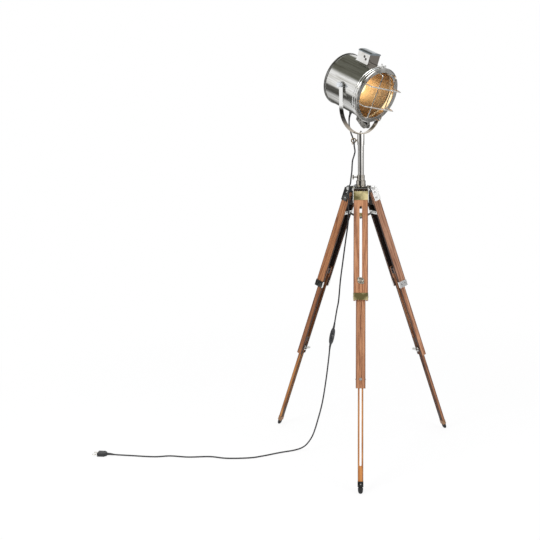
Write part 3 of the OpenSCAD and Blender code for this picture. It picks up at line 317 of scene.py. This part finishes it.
cord_black = moulded("cord_black", (0.012, 0.012, 0.013), (0.03, 0.03, 0.033), 0.45, 900)
stretches = [
    ("cord_head_flex", upper_route, 1, 5, "cord_head", ("yoke", "head"), ["gland_sleeve"]),
    ("cord_yoke_flex", upper_route, 5, 10, "cord_yoke", ("mast", "yoke"), []),
    ("cord_mast_flex", upper_route, 10, 15, "cord_mast", ("stand", "mast"), []),
    ("cord_hang_flex", upper_route, 15, 29, "cord_hang", None,
     ["switch_body", "switch_rocker", "switch_sleeve_top"]),
    ("cord_floor_flex", floor_route, 1, 22, "cord_floor", None,
     ["plug", "switch_sleeve_foot", "plug_sleeve"])]
# Each end in a housing has a ribbed rubber sleeve that tapers: (the cord, from its end or its
# start, length, thickness at the housing and where it stops, both as shares of the cord's).
sleeves = {
    "gland_sleeve": (False, 0.024, 1.5, 1.1), "switch_sleeve_top": (True, 0.022, 1.6, 1.1),
    "switch_sleeve_foot": (False, 0.022, 1.6, 1.1), "plug_sleeve": (True, 0.028, 1.9, 1.12)}
for name, route, first, last, solid, joined, fitted in stretches:
    points = smooth_stretch(route, first, last, 6)
    for sleeve in [part for part in fitted if part in sleeves]:
        backwards, length, thick, thin = sleeves[sleeve]
        along, swell = sleeve_on(points[::-1] if backwards else points, length, thick, thin)
        boot = lay_cord(sleeve, along, swell)
        dress(boot, cord_black)
        if joined:
            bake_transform(boot)
        else:
            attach(boot, "stand")
    flex = lay_cord(name, points)
    dress(flex, cord_black)
    if joined:
        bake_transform(flex)
    else:
        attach(flex, "stand")
    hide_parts(solid)

# ---- Switch and plug --------------------------------------------------------
# The switch is two black shells that taper to the cord at both ends, with a seam between them
# and a recess for the rocker. The plug is moulded in one, with two plated pins.
switch_length = 0.06
switch_azimuth = math.radians(210)
switch_lean = math.radians(12.6)
switch_top = (0.1186, 0, 0.4954)
slice_height = 0.002
seam_depth = 0.0004
pin_start = -1.0241


def combine(piece, other, operation):
    """Cuts another shape out of a piece or joins it on, and takes the other away."""
    tool = piece.modifiers.new(operation.lower(), "BOOLEAN")
    tool.operation = operation
    tool.object = other
    tool.solver = "EXACT"
    bpy.context.view_layer.objects.active = piece
    bpy.ops.object.modifier_apply(modifier=tool.name)
    bpy.data.objects.remove(other)


case_black = moulded("case_black", (0.014, 0.014, 0.015), (0.035, 0.035, 0.037), 0.38, 2200)
rocker_black = moulded("rocker_black", (0.03, 0.03, 0.031), (0.06, 0.06, 0.06), 0.28, 2600)
dress(nodes["cord_gland"], case_black)
dress(nodes["switch_rocker"], rocker_black)
bpy.ops.object.select_all(action="DESELECT")
bpy.ops.mesh.primitive_cylinder_add(vertices=48, radius=1, depth=switch_length,
                                    location=(0, 0, -switch_length / 2))
shell = bpy.context.active_object
shell.name = "switch_shell"
bpy.ops.object.transform_apply(location=True)
bpy.ops.object.mode_set(mode="EDIT")
for slice_number in range(1, 30):
    bpy.ops.mesh.select_all(action="SELECT")
    bpy.ops.mesh.bisect(plane_co=(0, 0, -slice_height * slice_number), plane_no=(0, 0, 1))
bpy.ops.object.mode_set(mode="OBJECT")
for vertex in shell.data.vertices:
    reach = abs(vertex.co.z + switch_length / 2) / (switch_length / 2)
    fullness = max(1 - reach ** 2.4, 0) ** 0.62
    groove = seam_depth if abs(vertex.co.y) < 0.06 else 0.0
    vertex.co.x *= 0.0045 + 0.0055 * fullness - groove
    vertex.co.y *= 0.0042 + 0.0033 * fullness
bpy.ops.object.select_all(action="DESELECT")
bpy.ops.mesh.primitive_cube_add(size=1, location=(0, 0.0075, -switch_length / 2),
                                scale=(0.011, 0.01, 0.018))
combine(shell, bpy.context.active_object, "DIFFERENCE")
shell.data.transform(Matrix.Rotation(switch_azimuth, 4, "Z") @ Matrix.Translation(switch_top)
                     @ Matrix.Rotation(-switch_lean, 4, "Y"))
bpy.ops.object.select_all(action="DESELECT")
shell.select_set(True)
bpy.ops.object.shade_smooth_by_angle(angle=math.radians(40))
dress(shell, case_black)
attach(shell, "stand")
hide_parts("switch_body")

pin_case, tree, shader = new_finish("plug_and_pins")
place = put(tree, "ShaderNodeTexCoord").outputs["Object"]
axes = put(tree, "ShaderNodeSeparateXYZ", _0=place)
grain = noise(tree, place, 1800, 2.0)
pins = maths(tree, "LESS_THAN", axes.outputs["X"], pin_start)
tree.links.new(pins, shader.inputs["Metallic"])
join_up(tree, shader, mix(tree, pins, (0.016, 0.016, 0.017, 1), (0.62, 0.6, 0.55, 1)),
        scaled(tree, grain, 0.25, 0.5), grain, 0.2, 0.0003)
dress(nodes["plug"], pin_case)

# ---- Tripod head ------------------------------------------------------------
# A plated three-armed casting with a barrel for each leg. Its bolts, spacers and nuts are
# turned steel, and the clamp on top is a stepped collar with a thumbscrew.
leg_splay = math.radians(20)
leg_pin_reach = 0.037
leg_pin_height = 1.020995


def leg_frame(azimuth):
    """Turn and place of a leg, as its pieces are drawn: pin at the origin, leg down -Z."""
    turn = math.radians(azimuth)
    return (0, -leg_splay, turn), (leg_pin_reach * math.cos(turn),
                                   leg_pin_reach * math.sin(turn), leg_pin_height)


def leg_way(azimuth, direction):
    """A direction in a leg's own frame as a direction of the lamp."""
    return Euler(leg_frame(azimuth)[0]).to_matrix() @ Vector(direction)


def own_axes(tree, turned=(0, 0, 0), moved=(0, 0, 0), stretch=(1, 1, 1)):
    """Object coordinates in a piece's own turned frame, then stretched."""
    place = put(tree, "ShaderNodeTexCoord").outputs["Object"]
    frame_of = put(tree, "ShaderNodeMapping", {"vector_type": "TEXTURE"}, Vector=place,
                   Rotation=turned, Location=moved)
    if stretch == (1, 1, 1):
        return frame_of.outputs["Vector"]
    return put(tree, "ShaderNodeMapping", Vector=frame_of.outputs["Vector"],
               Scale=stretch).outputs["Vector"]


def plated(name, bright, dull, rough=0.16, turned=(0, 0, 0), moved=(0, 0, 0),
           stretch=(1, 1, 1), size=60, spread=0.1, shade_painted_face=None):
    """Plated or bare metal: cloudy tarnish, fine polishing streaks and small handling marks. The
    last
    argument paints shade: it gives the face beyond a distance along the piece's own X another
    colour."""
    material, tree, shader = new_finish(name)
    along = own_axes(tree, turned, moved, stretch)
    cloud = noise(tree, along, size, 5.0, Roughness=0.6)
    fine = noise(tree, along, size * 14, 3.0)
    colour = ramp(tree, cloud, [(0.32, dull), (0.62, bright)])
    if shade_painted_face:
        axes = put(tree, "ShaderNodeSeparateXYZ", _0=along)
        shade_painted_part = maths(tree, "GREATER_THAN", axes.outputs["X"], shade_painted_face[0])
        colour = mix(tree, shade_painted_part, colour, (*shade_painted_face[1], 1))
    shader.inputs["Metallic"].default_value = 1
    polish = scaled(tree, maths(tree, "MULTIPLY", cloud, fine), rough + spread,
                    max(rough - spread / 2, 0.03), 0.1, 0.45)
    join_up(tree, shader, colour, polish, fine, 0.08, 0.0002)
    return material


def ease(piece, width, steps=2):
    """Rounds the edges of a CAD node or piece by a small bevel."""
    weld = piece.modifiers.new("weld", "WELD")
    weld.merge_threshold = 0.00002
    edge = piece.modifiers.new("ease", "BEVEL")
    edge.width = width
    edge.segments = steps
    edge.limit_method = "ANGLE"
    edge.angle_limit = math.radians(40)
    edge.harden_normals = False


cast_nickel = plated("cast_nickel", (0.3, 0.29, 0.27), (0.12, 0.115, 0.1), 0.2, size=45,
                     spread=0.06)
turned_steel = plated("turned_steel", (0.78, 0.78, 0.77), (0.45, 0.44, 0.41), 0.14, size=120,
                      spread=0.06)
dress(nodes["tripod_head"], cast_nickel)
dress(nodes["hinge_bolts"], turned_steel)
clamp_nickel = plated("clamp_nickel", (0.6, 0.56, 0.5), (0.2, 0.18, 0.15), 0.06, size=50,
                      spread=0.04)
dress(nodes["pole_clamp"], clamp_nickel)
dress(nodes["clamp_screw"], clamp_nickel)

# ---- Brace ------------------------------------------------------------------
# Three flat blackened steel arms and a small plated spider, which lets the legs spread only
# together.
blackened = plated("blackened", (0.16, 0.15, 0.14), (0.05, 0.048, 0.045), 0.34, size=90)
for side in ("front", "right", "left"):
    dress(nodes["brace_arm_" + side], blackened)
dress(nodes["brace_hub"], turned_steel)

# ---- Legs -------------------------------------------------------------------
# Oiled hardwood in three stages, each a channel or bar that slides in the one above. The grain
# runs down the leg, the arrises are darker, and the inside of each channel is painted black as
# shade.
legs = {"front": -90, "right": 30, "left": 150}


def oiled_wood(name, azimuth, tones, board, channel, seed):
    """Oiled wood in the frame of a leg: long fibres, open pores, cathedral figure and worn dark
    arrises. The board is its half width, inner and outer face; the channel, painted black inside as
    shade, is its half width, its floor and where it starts. The inner faces are painted dark as
    shade."""
    material, tree, shader = new_finish(name)
    place = own_axes(tree, *leg_frame(azimuth))
    shifted = put(tree, "ShaderNodeMapping", Vector=place, Location=(seed, seed * 2, seed * 3),
                  Scale=(1, 1, 0.09)).outputs["Vector"]
    warp = put(tree, "ShaderNodeTexNoise", Vector=shifted, Scale=26, Detail=3.0)
    bent = put(tree, "ShaderNodeVectorMath", {"operation": "MULTIPLY_ADD"},
               _0=warp.outputs["Color"], _1=(0.035, 0.035, 0.03), _2=shifted)
    figure = put(tree, "ShaderNodeTexWave", {"wave_type": "RINGS", "rings_direction": "Z"},
                 Vector=bent.outputs["Vector"], Scale=58, Distortion=4.0, Detail=3.0)
    fibre_place = put(tree, "ShaderNodeMapping", Vector=place, Location=(0, 0, seed),
                      Scale=(1, 1, 0.05))
    fibre = noise(tree, fibre_place.outputs["Vector"], 420, 4.0, Roughness=0.7)
    patch = noise(tree, shifted, 60, 4.0, Roughness=0.75)
    grain = maths(tree, "MULTIPLY_ADD", figure.outputs["Fac"], 0.4, fibre)
    tone = maths(tree, "MULTIPLY_ADD", patch, 1.0, grain)
    light, middle, dark, edge = tones
    colour = ramp(tree, scaled(tree, tone, 0.0, 1.0, 0.75, 1.6),
                  [(0.1, dark), (0.42, middle), (0.85, light)])

    # The arrises lie where the distances from the board's two middle planes add up to the most.
    axes = put(tree, "ShaderNodeSeparateXYZ", _0=place)
    half, inner, outer = board
    side = maths(tree, "ABSOLUTE", axes.outputs["Y"])
    depth = maths(tree, "ABSOLUTE",
                  maths(tree, "SUBTRACT", axes.outputs["X"], (inner + outer) / 2))
    rim = half + (outer - inner) / 2
    worn = scaled(tree, maths(tree, "ADD", side, depth), 0.0, 0.8, rim - 0.0042, rim - 0.001, True)
    colour = mix(tree, worn, colour, (*edge, 1))

    # The inner face is painted dark as shade below the start of the channel, and the channel's
    # inside is painted black as shade.
    channel_half, channel_floor, channel_start = channel
    below = maths(tree, "LESS_THAN", axes.outputs["Z"], channel_start)
    inner_face_painted_shade = maths(tree, "MULTIPLY", maths(tree, "LESS_THAN", axes.outputs["X"], inner + 0.0004),
                      below)
    colour = mix(tree, maths(tree, "MULTIPLY", inner_face_painted_shade, 0.93), colour, (0.016, 0.008, 0.005, 1))
    channel_painted_shade = maths(tree, "MULTIPLY", maths(tree, "LESS_THAN", side, channel_half),
                   maths(tree, "LESS_THAN", axes.outputs["X"], channel_floor))
    colour = mix(tree, channel_painted_shade, colour, (0.018, 0.011, 0.009, 1))
    shader.inputs["Specular IOR Level"].default_value = 0.35
    join_up(tree, shader, colour, scaled(tree, fibre, 0.42, 0.62), fibre, 0.3, 0.0005)
    return material


def toned(colour, tint):
    """A colour times a tint."""
    return tuple(value * share for value, share in zip(colour, tint))


# Each board was cut from another plank: the left leg is the darkest and the most orange.
tints = {"upper": {"front": (0.79, 0.76, 0.72), "right": (0.72, 0.77, 0.91),
                   "left": (0.65, 0.58, 0.47)},
         "middle": {"front": (0.84, 0.84, 0.82), "right": (0.95, 1.02, 1.1),
                    "left": (0.52, 0.43, 0.33)},
         "lower": {"front": (0.98, 0.9, 0.72), "right": (0.46, 0.41, 0.53),
                   "left": (0.71, 0.65, 0.49)}}
# Of each stage: its four tones, its board, its channel, its seed and how far its arrises are eased.
stages = {
    "upper": (((0.62, 0.31, 0.16), (0.43, 0.185, 0.085), (0.2, 0.068, 0.027), (0.13, 0.045, 0.02)),
              (0.026, -0.0165, 0.0145), (0.0181, 0.0066, -0.0615), 0.0, 0.0012),
    "middle": (((0.57, 0.28, 0.145), (0.38, 0.16, 0.075), (0.15, 0.05, 0.022),
                (0.1, 0.035, 0.016)),
               (0.017, -0.0135, 0.0062), (0.0098, 0.0013, -0.375), 1.1, 0.0008),
    "lower": (((0.7, 0.36, 0.13), (0.5, 0.21, 0.07), (0.2, 0.07, 0.025), (0.13, 0.045, 0.018)),
              (0.0095, -0.012, 0.0009), (0.0, -0.1, -0.3), 2.3, 0.0006)}
for number, (side, azimuth) in enumerate(legs.items()):
    for stage, (tones, board, channel, seed, eased) in stages.items():
        wood = oiled_wood(stage + "_wood_" + side, azimuth,
                          [toned(colour, tints[stage][side]) for colour in tones], board, channel,
                          seed + number * 0.43)
        dress(nodes[stage + "_board_" + side], wood)
        ease(nodes[stage + "_board_" + side], eased)

# ---- Leg fittings -----------------------------------------------------------
# Bent-sheet brackets, bands and clips in one plating for each leg: worn to the brass on the
# front leg, painted black as shade on the left and painted bright as light on the right. The
# folded edges are painted in a light colour as a highlight.
outer_fold = 0.0263
inner_fold = -0.0166


def sheet_metal(name, azimuth, bright, dull, edge, rough, size, outer):
    """Plated sheet in the frame of a leg, with an outer or an inner fold painted in a light colour
    as a highlight.
    """
    material, tree, shader = new_finish(name)
    place = own_axes(tree, *leg_frame(azimuth))
    cloud = noise(tree, place, size, 3.0, Roughness=0.5)
    fine = noise(tree, place, 900, 3.0)
    face = ramp(tree, cloud, [(0.38, dull), (0.6, bright)])
    axes = put(tree, "ShaderNodeSeparateXYZ", _0=place)
    # The fold is painted in a light colour as a highlight.
    if outer:
        fold_painted_highlight = maths(tree, "GREATER_THAN", maths(tree, "ABSOLUTE", axes.outputs["Y"]), outer_fold)
    else:
        fold_painted_highlight = maths(tree, "LESS_THAN", axes.outputs["X"], inner_fold)
    shader.inputs["Metallic"].default_value = 1
    join_up(tree, shader, mix(tree, fold_painted_highlight, face, (*edge, 1)),
            scaled(tree, cloud, rough + 0.08, rough, 0.3, 0.7), fine, 0.02, 0.0001)
    return material


# The right leg's sheet is painted bright as light, and the left leg's is painted black as shade.
sheets = {
    "front": sheet_metal("worn_brass", -90, (0.86, 0.74, 0.4), (0.17, 0.145, 0.06),
                         (0.85, 0.85, 0.83), 0.16, 26, True),
    "right": sheet_metal("plate_painted_lit", 30, (0.97, 0.97, 0.97), (0.88, 0.88, 0.87),
                         (0.8, 0.8, 0.78), 0.22, 16, False),
    "left": sheet_metal("plate_painted_shade", 150, (0.16, 0.16, 0.155), (0.05, 0.05, 0.048),
                        (0.85, 0.85, 0.83), 0.22, 60, False)}
for side in legs:
    dress(nodes["leg_fittings_" + side], sheets[side])
    dress(nodes["upper_wing_" + side], turned_steel)
    dress(nodes["lower_wing_" + side], turned_steel)


def on_leg(azimuth, x, y, z):
    """A point of a leg's own frame, in millimetres, as a point of the lamp."""
    turned, moved = leg_frame(azimuth)
    return Euler(turned).to_matrix() @ Vector((x, y, z)) / 1000 + Vector(moved)


def slotted_head(radius, tall):
    """One domed screw head with a slot, made once and facing +Z. Its origin is at its middle, so a
    copy is sunk by half its height, and each keeps its place half a height up."""
    bpy.ops.object.select_all(action="DESELECT")
    bpy.ops.mesh.primitive_cylinder_add(vertices=20, radius=radius, depth=tall,
                                        location=(0, 0, tall / 2))
    head = bpy.context.active_object
    bpy.ops.object.mode_set(mode="EDIT")
    bpy.ops.mesh.select_all(action="DESELECT")
    bpy.ops.object.mode_set(mode="OBJECT")
    for face in head.data.polygons:
        face.select = face.normal.z > 0.9
    bpy.ops.object.mode_set(mode="EDIT")
    bpy.ops.mesh.bevel(offset=tall * 0.45, segments=3, affect="EDGES")
    bpy.ops.object.mode_set(mode="OBJECT")
    bpy.ops.object.select_all(action="DESELECT")
    bpy.ops.mesh.primitive_cube_add(size=1, location=(0, 0, tall),
                                    scale=(radius * 3, radius * 0.28, tall * 0.8))
    combine(head, bpy.context.active_object, "DIFFERENCE")
    return head


def fasten(name, pattern, spots, body, finish):
    """Copies of a head at several spots, each (point, outward direction, turn), as one piece."""
    copies = []
    for point, out, turn in spots:
        copy = pattern.copy()
        copy.data = pattern.data.copy()
        bpy.context.scene.collection.objects.link(copy)
        facing = Vector(out).normalized().to_track_quat("Z", "Y").to_matrix().to_4x4()
        copy.data.transform(Matrix.Translation(point) @ facing @ Matrix.Rotation(turn, 4, "Z"))
        copies.append(copy)
    bpy.ops.object.select_all(action="DESELECT")
    for copy in copies:
        copy.select_set(True)
    bpy.context.view_layer.objects.active = copies[0]
    if len(copies) > 1:
        bpy.ops.object.join()
    piece = bpy.context.active_object
    piece.name = name
    bpy.ops.object.shade_smooth_by_angle(angle=math.radians(35))
    dress(piece, finish)
    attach(piece, body)
    return piece


# Screws: domed slotted heads, four on each bracket, two on each brace clip and two on each face
# of the bands. All are dark steel but for the bright ones of the left bracket.
bracket_head = slotted_head(0.0042, 0.0021)
band_head = slotted_head(0.0024, 0.0013)
for number, (side, azimuth) in enumerate(legs.items()):
    sideways = leg_way(azimuth, (0, 1, 0))
    outward = leg_way(azimuth, (1, 0, 0))
    spots = [(on_leg(azimuth, 0, hand * 28.4, -drop), sideways * hand, 0.5 + number + drop)
             for hand in (-1, 1) for drop in (19, 40)]
    finish = turned_steel if side == "left" else blackened
    fasten("bracket_screws_" + side, bracket_head, spots, "leg_" + side, finish)
    spots = [(on_leg(azimuth, -17.9, hand * 18, -93), -outward, 0.8 + hand) for hand in (-1, 1)]
    spots += [(on_leg(azimuth, x, hand * 27.4, -400.5), sideways * hand, x) for hand in (-1, 1)
              for x in (-8, 6)]
    fasten("band_screws_" + side, band_head, spots, "leg_" + side, blackened)
for pattern in (bracket_head, band_head):
    bpy.data.objects.remove(pattern)

# Upper wing screws: a turned disc with two raised rings and two small ears, on a shank that
# runs through the slot of the board.
bpy.ops.object.select_all(action="DESELECT")
bpy.ops.mesh.primitive_cylinder_add(vertices=48, radius=0.0116, depth=0.0018,
                                    location=(0, 0, 0.0009))
wing = bpy.context.active_object
bpy.ops.object.transform_apply(location=True)
# The boss, the shank and the ears are discs (radius, thickness, place); the rings have a radius
# and half a thickness.
forms = [("disc", 0.0052, 0.0036, (0, 0, 0.0018)), ("disc", 0.003, 0.0195, (0, 0, -0.0093)),
         ("disc", 0.0044, 0.0016, (0.0108, 0, 0.0009)),
         ("disc", 0.0044, 0.0016, (-0.0108, 0, 0.0009)),
         ("ring", 0.0085, 0.0013, (0, 0, 0.0018)), ("ring", 0.0034, 0.0008, (0, 0, 0.0036))]
for form, radius, thick, spot in forms:
    bpy.ops.object.select_all(action="DESELECT")
    if form == "disc":
        bpy.ops.mesh.primitive_cylinder_add(vertices=40, radius=radius, depth=thick, location=spot)
    else:
        bpy.ops.mesh.primitive_torus_add(major_radius=radius, minor_radius=thick, location=spot,
                                         major_segments=48, minor_segments=12)
    combine(wing, bpy.context.active_object, "UNION")
wing_nickel = plated("wing_nickel", (0.5, 0.47, 0.39), (0.14, 0.13, 0.1), 0.12, size=160,
                     spread=0.05)
for side, azimuth in legs.items():
    piece = fasten("wing_knob_" + side, wing,
                   [(on_leg(azimuth, 15.0, 0, -343), leg_way(azimuth, (1, 0, 0)), -0.8)],
                   "upper_wing_" + side, wing_nickel)
    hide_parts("upper_wing_" + side)
bpy.data.objects.remove(wing)

# ---- Feet -------------------------------------------------------------------
# Each foot is a pressed steel ferrule, darkened on the front leg and brown on the others, held
# by one screw, with a black rubber tip.
tip_rubber = moulded("tip_rubber", (0.004, 0.004, 0.0045), (0.012, 0.012, 0.013), 0.6, 1500)
dark_ferrule = plated("dark_ferrule", (0.1, 0.1, 0.1), (0.035, 0.034, 0.032), 0.26, size=150,
                      spread=0.05)
brown_ferrule = plated("brown_ferrule", (0.36, 0.21, 0.12), (0.2, 0.115, 0.07), 0.32, size=120,
                       spread=0.05)
pin_head = slotted_head(0.0026, 0.0012)
for side, azimuth in legs.items():
    dress(nodes["ferrule_" + side], dark_ferrule if side == "front" else brown_ferrule)
    ease(nodes["foot_tip_" + side], 0.007, 5)
    dress(nodes["foot_tip_" + side], tip_rubber)
    fasten("ferrule_screw_" + side, pin_head,
           [(on_leg(azimuth, 1.4, 0, -1053), leg_way(azimuth, (1, 0, 0)), 0.7)],
           "lower_" + side, turned_steel)
bpy.data.objects.remove(pin_head)

# ---- Mast and yoke ----------------------------------------------------------
# A plated steel tube with a sleeve that turns on its top. The yoke is bent from flat strap and
# held by a cone nut, and the ring screw on the sleeve guides the cord.
strap_heights = (1.2, 1.42)


def painted_light_bands(name, place_of, size, detail, heights, uneven, stops, dull_gloss, bright_gloss):
    """Metal whose colour goes by height over uneven bands of painted light, reflection and shade,
    as on the strap and the dish.
    place_of is the piece's turn and place, and heights are where the bands begin and end."""
    material, tree, shader = new_finish(name)
    place = own_axes(tree, *place_of)
    axes = put(tree, "ShaderNodeSeparateXYZ", _0=place)
    cloud = noise(tree, place, size, detail)
    height = scaled(tree, axes.outputs["Z"], 0.0, 1.0, *heights)
    band = maths(tree, "MULTIPLY_ADD", cloud, uneven, height)
    shader.inputs["Metallic"].default_value = 1
    join_up(tree, shader, ramp(tree, band, stops), scaled(tree, cloud, dull_gloss, bright_gloss))
    return material


mast_chrome = plated("mast_chrome", (0.74, 0.73, 0.71), (0.46, 0.44, 0.41), 0.07,
                     stretch=(1, 1, 0.05), size=300, spread=0.06)
aged_brass = plated("aged_brass", (0.34, 0.25, 0.14), (0.12, 0.085, 0.05), 0.24, size=150)
dress(nodes["pole"], mast_chrome)
dress(nodes["yoke_sleeve"], mast_chrome)
# By height: tan tarnish low on the hoop, then a near-black band and near white up the arms, both
# painted reflections.
strap_painted_reflections = painted_light_bands(
    "strap_painted_reflections", (), 30, 3.0, strap_heights, 0.16,
    [(0.06, (0.62, 0.56, 0.47)), (0.3, (0.34, 0.29, 0.23)), (0.42, (0.06, 0.055, 0.05)),
     (0.56, (0.09, 0.085, 0.08)), (0.62, (0.85, 0.85, 0.84))], 0.2, 0.08)
dress(nodes["yoke"], strap_painted_reflections)
dress(nodes["ring_screw"], aged_brass)
knob_zinc = plated("knob_zinc", (0.74, 0.77, 0.8), (0.5, 0.52, 0.55), 0.34, size=120)
knob_zinc.node_tree.nodes["Principled BSDF"].inputs["Metallic"].default_value = 0.25
dress(nodes["tilt_knob_left"], knob_zinc)
dress(nodes["tilt_knob_right"], knob_zinc)

# ---- Lamp head --------------------------------------------------------------
# A spun drum in polished chrome with a pressed back cap, a folded wiring box on top, and a
# gold-anodised reflector behind flat glass.
head_tilt = math.radians(22.5)
head_pan = math.radians(-44.3)
pivot_height = 1.393995
head_turn = (0, head_tilt, head_pan)
head_place = (0, 0, pivot_height)
reflector_heights = (-0.1, 0.1)
drum_chrome = plated("drum_chrome", (0.83, 0.83, 0.82), (0.5, 0.49, 0.45), 0.07, head_turn,
                     head_place, (0.06, 1, 1), 140, 0.08)
dark_chrome = plated("dark_chrome", (0.3, 0.3, 0.29), (0.13, 0.125, 0.11), 0.22, size=60)
# The front face of the wiring box, beyond 27.5 mm along the head's X, is painted grey-brown as
# shade.
box_steel = plated("box_steel", (0.84, 0.84, 0.83), (0.6, 0.58, 0.54), 0.1, head_turn,
                   head_place, size=22, spread=0.03, shade_painted_face=(0.0275, (0.22, 0.2, 0.18)))
lid_steel = plated("lid_steel", (0.3, 0.34, 0.37), (0.17, 0.19, 0.2), 0.14, head_turn,
                   head_place, size=22, spread=0.03)
ring_steel = plated("ring_steel", (0.5, 0.49, 0.47), (0.26, 0.25, 0.23), 0.12, head_turn,
                    head_place, size=30, spread=0.04)
wire_chrome = plated("wire_chrome", (0.78, 0.76, 0.72), (0.5, 0.47, 0.42), 0.05, head_turn,
                     head_place, size=80, spread=0.03)
dress(nodes["drum"], drum_chrome)
dress(nodes["bezel"], ring_steel)
dress(nodes["guard"], wire_chrome)
dress(nodes["back_cap"], dark_chrome)
dress(nodes["pivot_bushes"], dark_chrome)
dress(nodes["junction_box"], box_steel)
dress(nodes["junction_lid"], lid_steel)
dress(nodes["latch_screw"], turned_steel)
dress(nodes["door_hinge"], cast_nickel)
# By height in the head's frame: the reflector is painted darker at the top and the bottom as shade,
# with a pale band through the middle as a painted highlight.
gold_reflector_painted_light = painted_light_bands(
    "gold_reflector_painted_light", (head_turn, head_place), 16, 2.0, reflector_heights, 0.2,
    [(0.15, (0.55, 0.38, 0.19)), (0.4, (0.96, 0.75, 0.5)), (0.72, (0.9, 0.66, 0.42)),
     (0.95, (0.4, 0.27, 0.15))], 0.42, 0.3)
dress(nodes["reflector"], gold_reflector_painted_light)
porcelain = moulded("porcelain", (0.75, 0.72, 0.64), (0.85, 0.83, 0.78), 0.2, 400)
dress(nodes["lamp_holder"], porcelain)

# Wiring box and seam: two pressed blanks and two screws in the side of the box, and two flat
# rivets that hold the seam of the drum at its lower left.
rivet_ring = 93.9


def head_way(x, y, z):
    """A direction in the head's own frame as a direction of the lamp."""
    return Euler(head_turn).to_matrix() @ Vector((x, y, z))


def on_head(x, y, z):
    """A point of the head's own frame, in millimetres, as a point of the lamp."""
    return head_way(x, y, z) / 1000 + Vector(head_place)


bpy.ops.object.select_all(action="DESELECT")
bpy.ops.mesh.primitive_cylinder_add(vertices=28, radius=0.0046, depth=0.0009)
blank = bpy.context.active_object
bpy.ops.object.mode_set(mode="EDIT")
bpy.ops.mesh.select_all(action="SELECT")
bpy.ops.mesh.bevel(offset=0.0003, segments=2, affect="EDGES")
bpy.ops.object.mode_set(mode="OBJECT")
aside = head_way(0, -1, 0)
spots = [(on_head(3, -25.6, 105), aside, 0), (on_head(12, -25.6, 98), aside, 0)]
fasten("box_knockouts", blank, spots, "head", blackened)
small_head = slotted_head(0.0022, 0.0012)
spots = [(on_head(22, -25.3, 122), aside, 0.4), (on_head(-27, -25.3, 122), aside, 1.3)]
fasten("box_screws", small_head, spots, "head", blackened)
rivet_head = slotted_head(0.0024, 0.0009)
spots = []
for along, angle in ((-85, math.radians(-124)), (-43, math.radians(-128))):
    out = (0, math.cos(angle), math.sin(angle))
    spots.append((on_head(along, rivet_ring * out[1], rivet_ring * out[2]), head_way(*out), 0))
fasten("drum_rivets", rivet_head, spots, "head", blackened)
for pattern in (blank, small_head, rivet_head):
    bpy.data.objects.remove(pattern)

# Bulb and door glass: the bulb is a warm glass globe, lit, and the glass of the door is a flat
# clear pane, faintly warm.
material, tree, shader = new_finish("lit_bulb")
mottle = noise(tree, own_axes(tree, head_turn, head_place), 40, 3.0)
glow = ramp(tree, mottle, [(0.3, (1.0, 0.72, 0.36)), (0.7, (1.0, 0.86, 0.58))])
tree.links.new(glow, shader.inputs["Base Color"])
tree.links.new(glow, shader.inputs["Emission Color"])
shader.inputs["Emission Strength"].default_value = 1.7
shader.inputs["Roughness"].default_value = 0.15
dress(nodes["bulb"], material)
material, tree, shader = new_finish("door_glass")
shader.inputs["Base Color"].default_value = (0.03, 0.025, 0.018, 1)
shader.inputs["Roughness"].default_value = 0.02
shader.inputs["Alpha"].default_value = 0.1
dress(nodes["glass"], material)
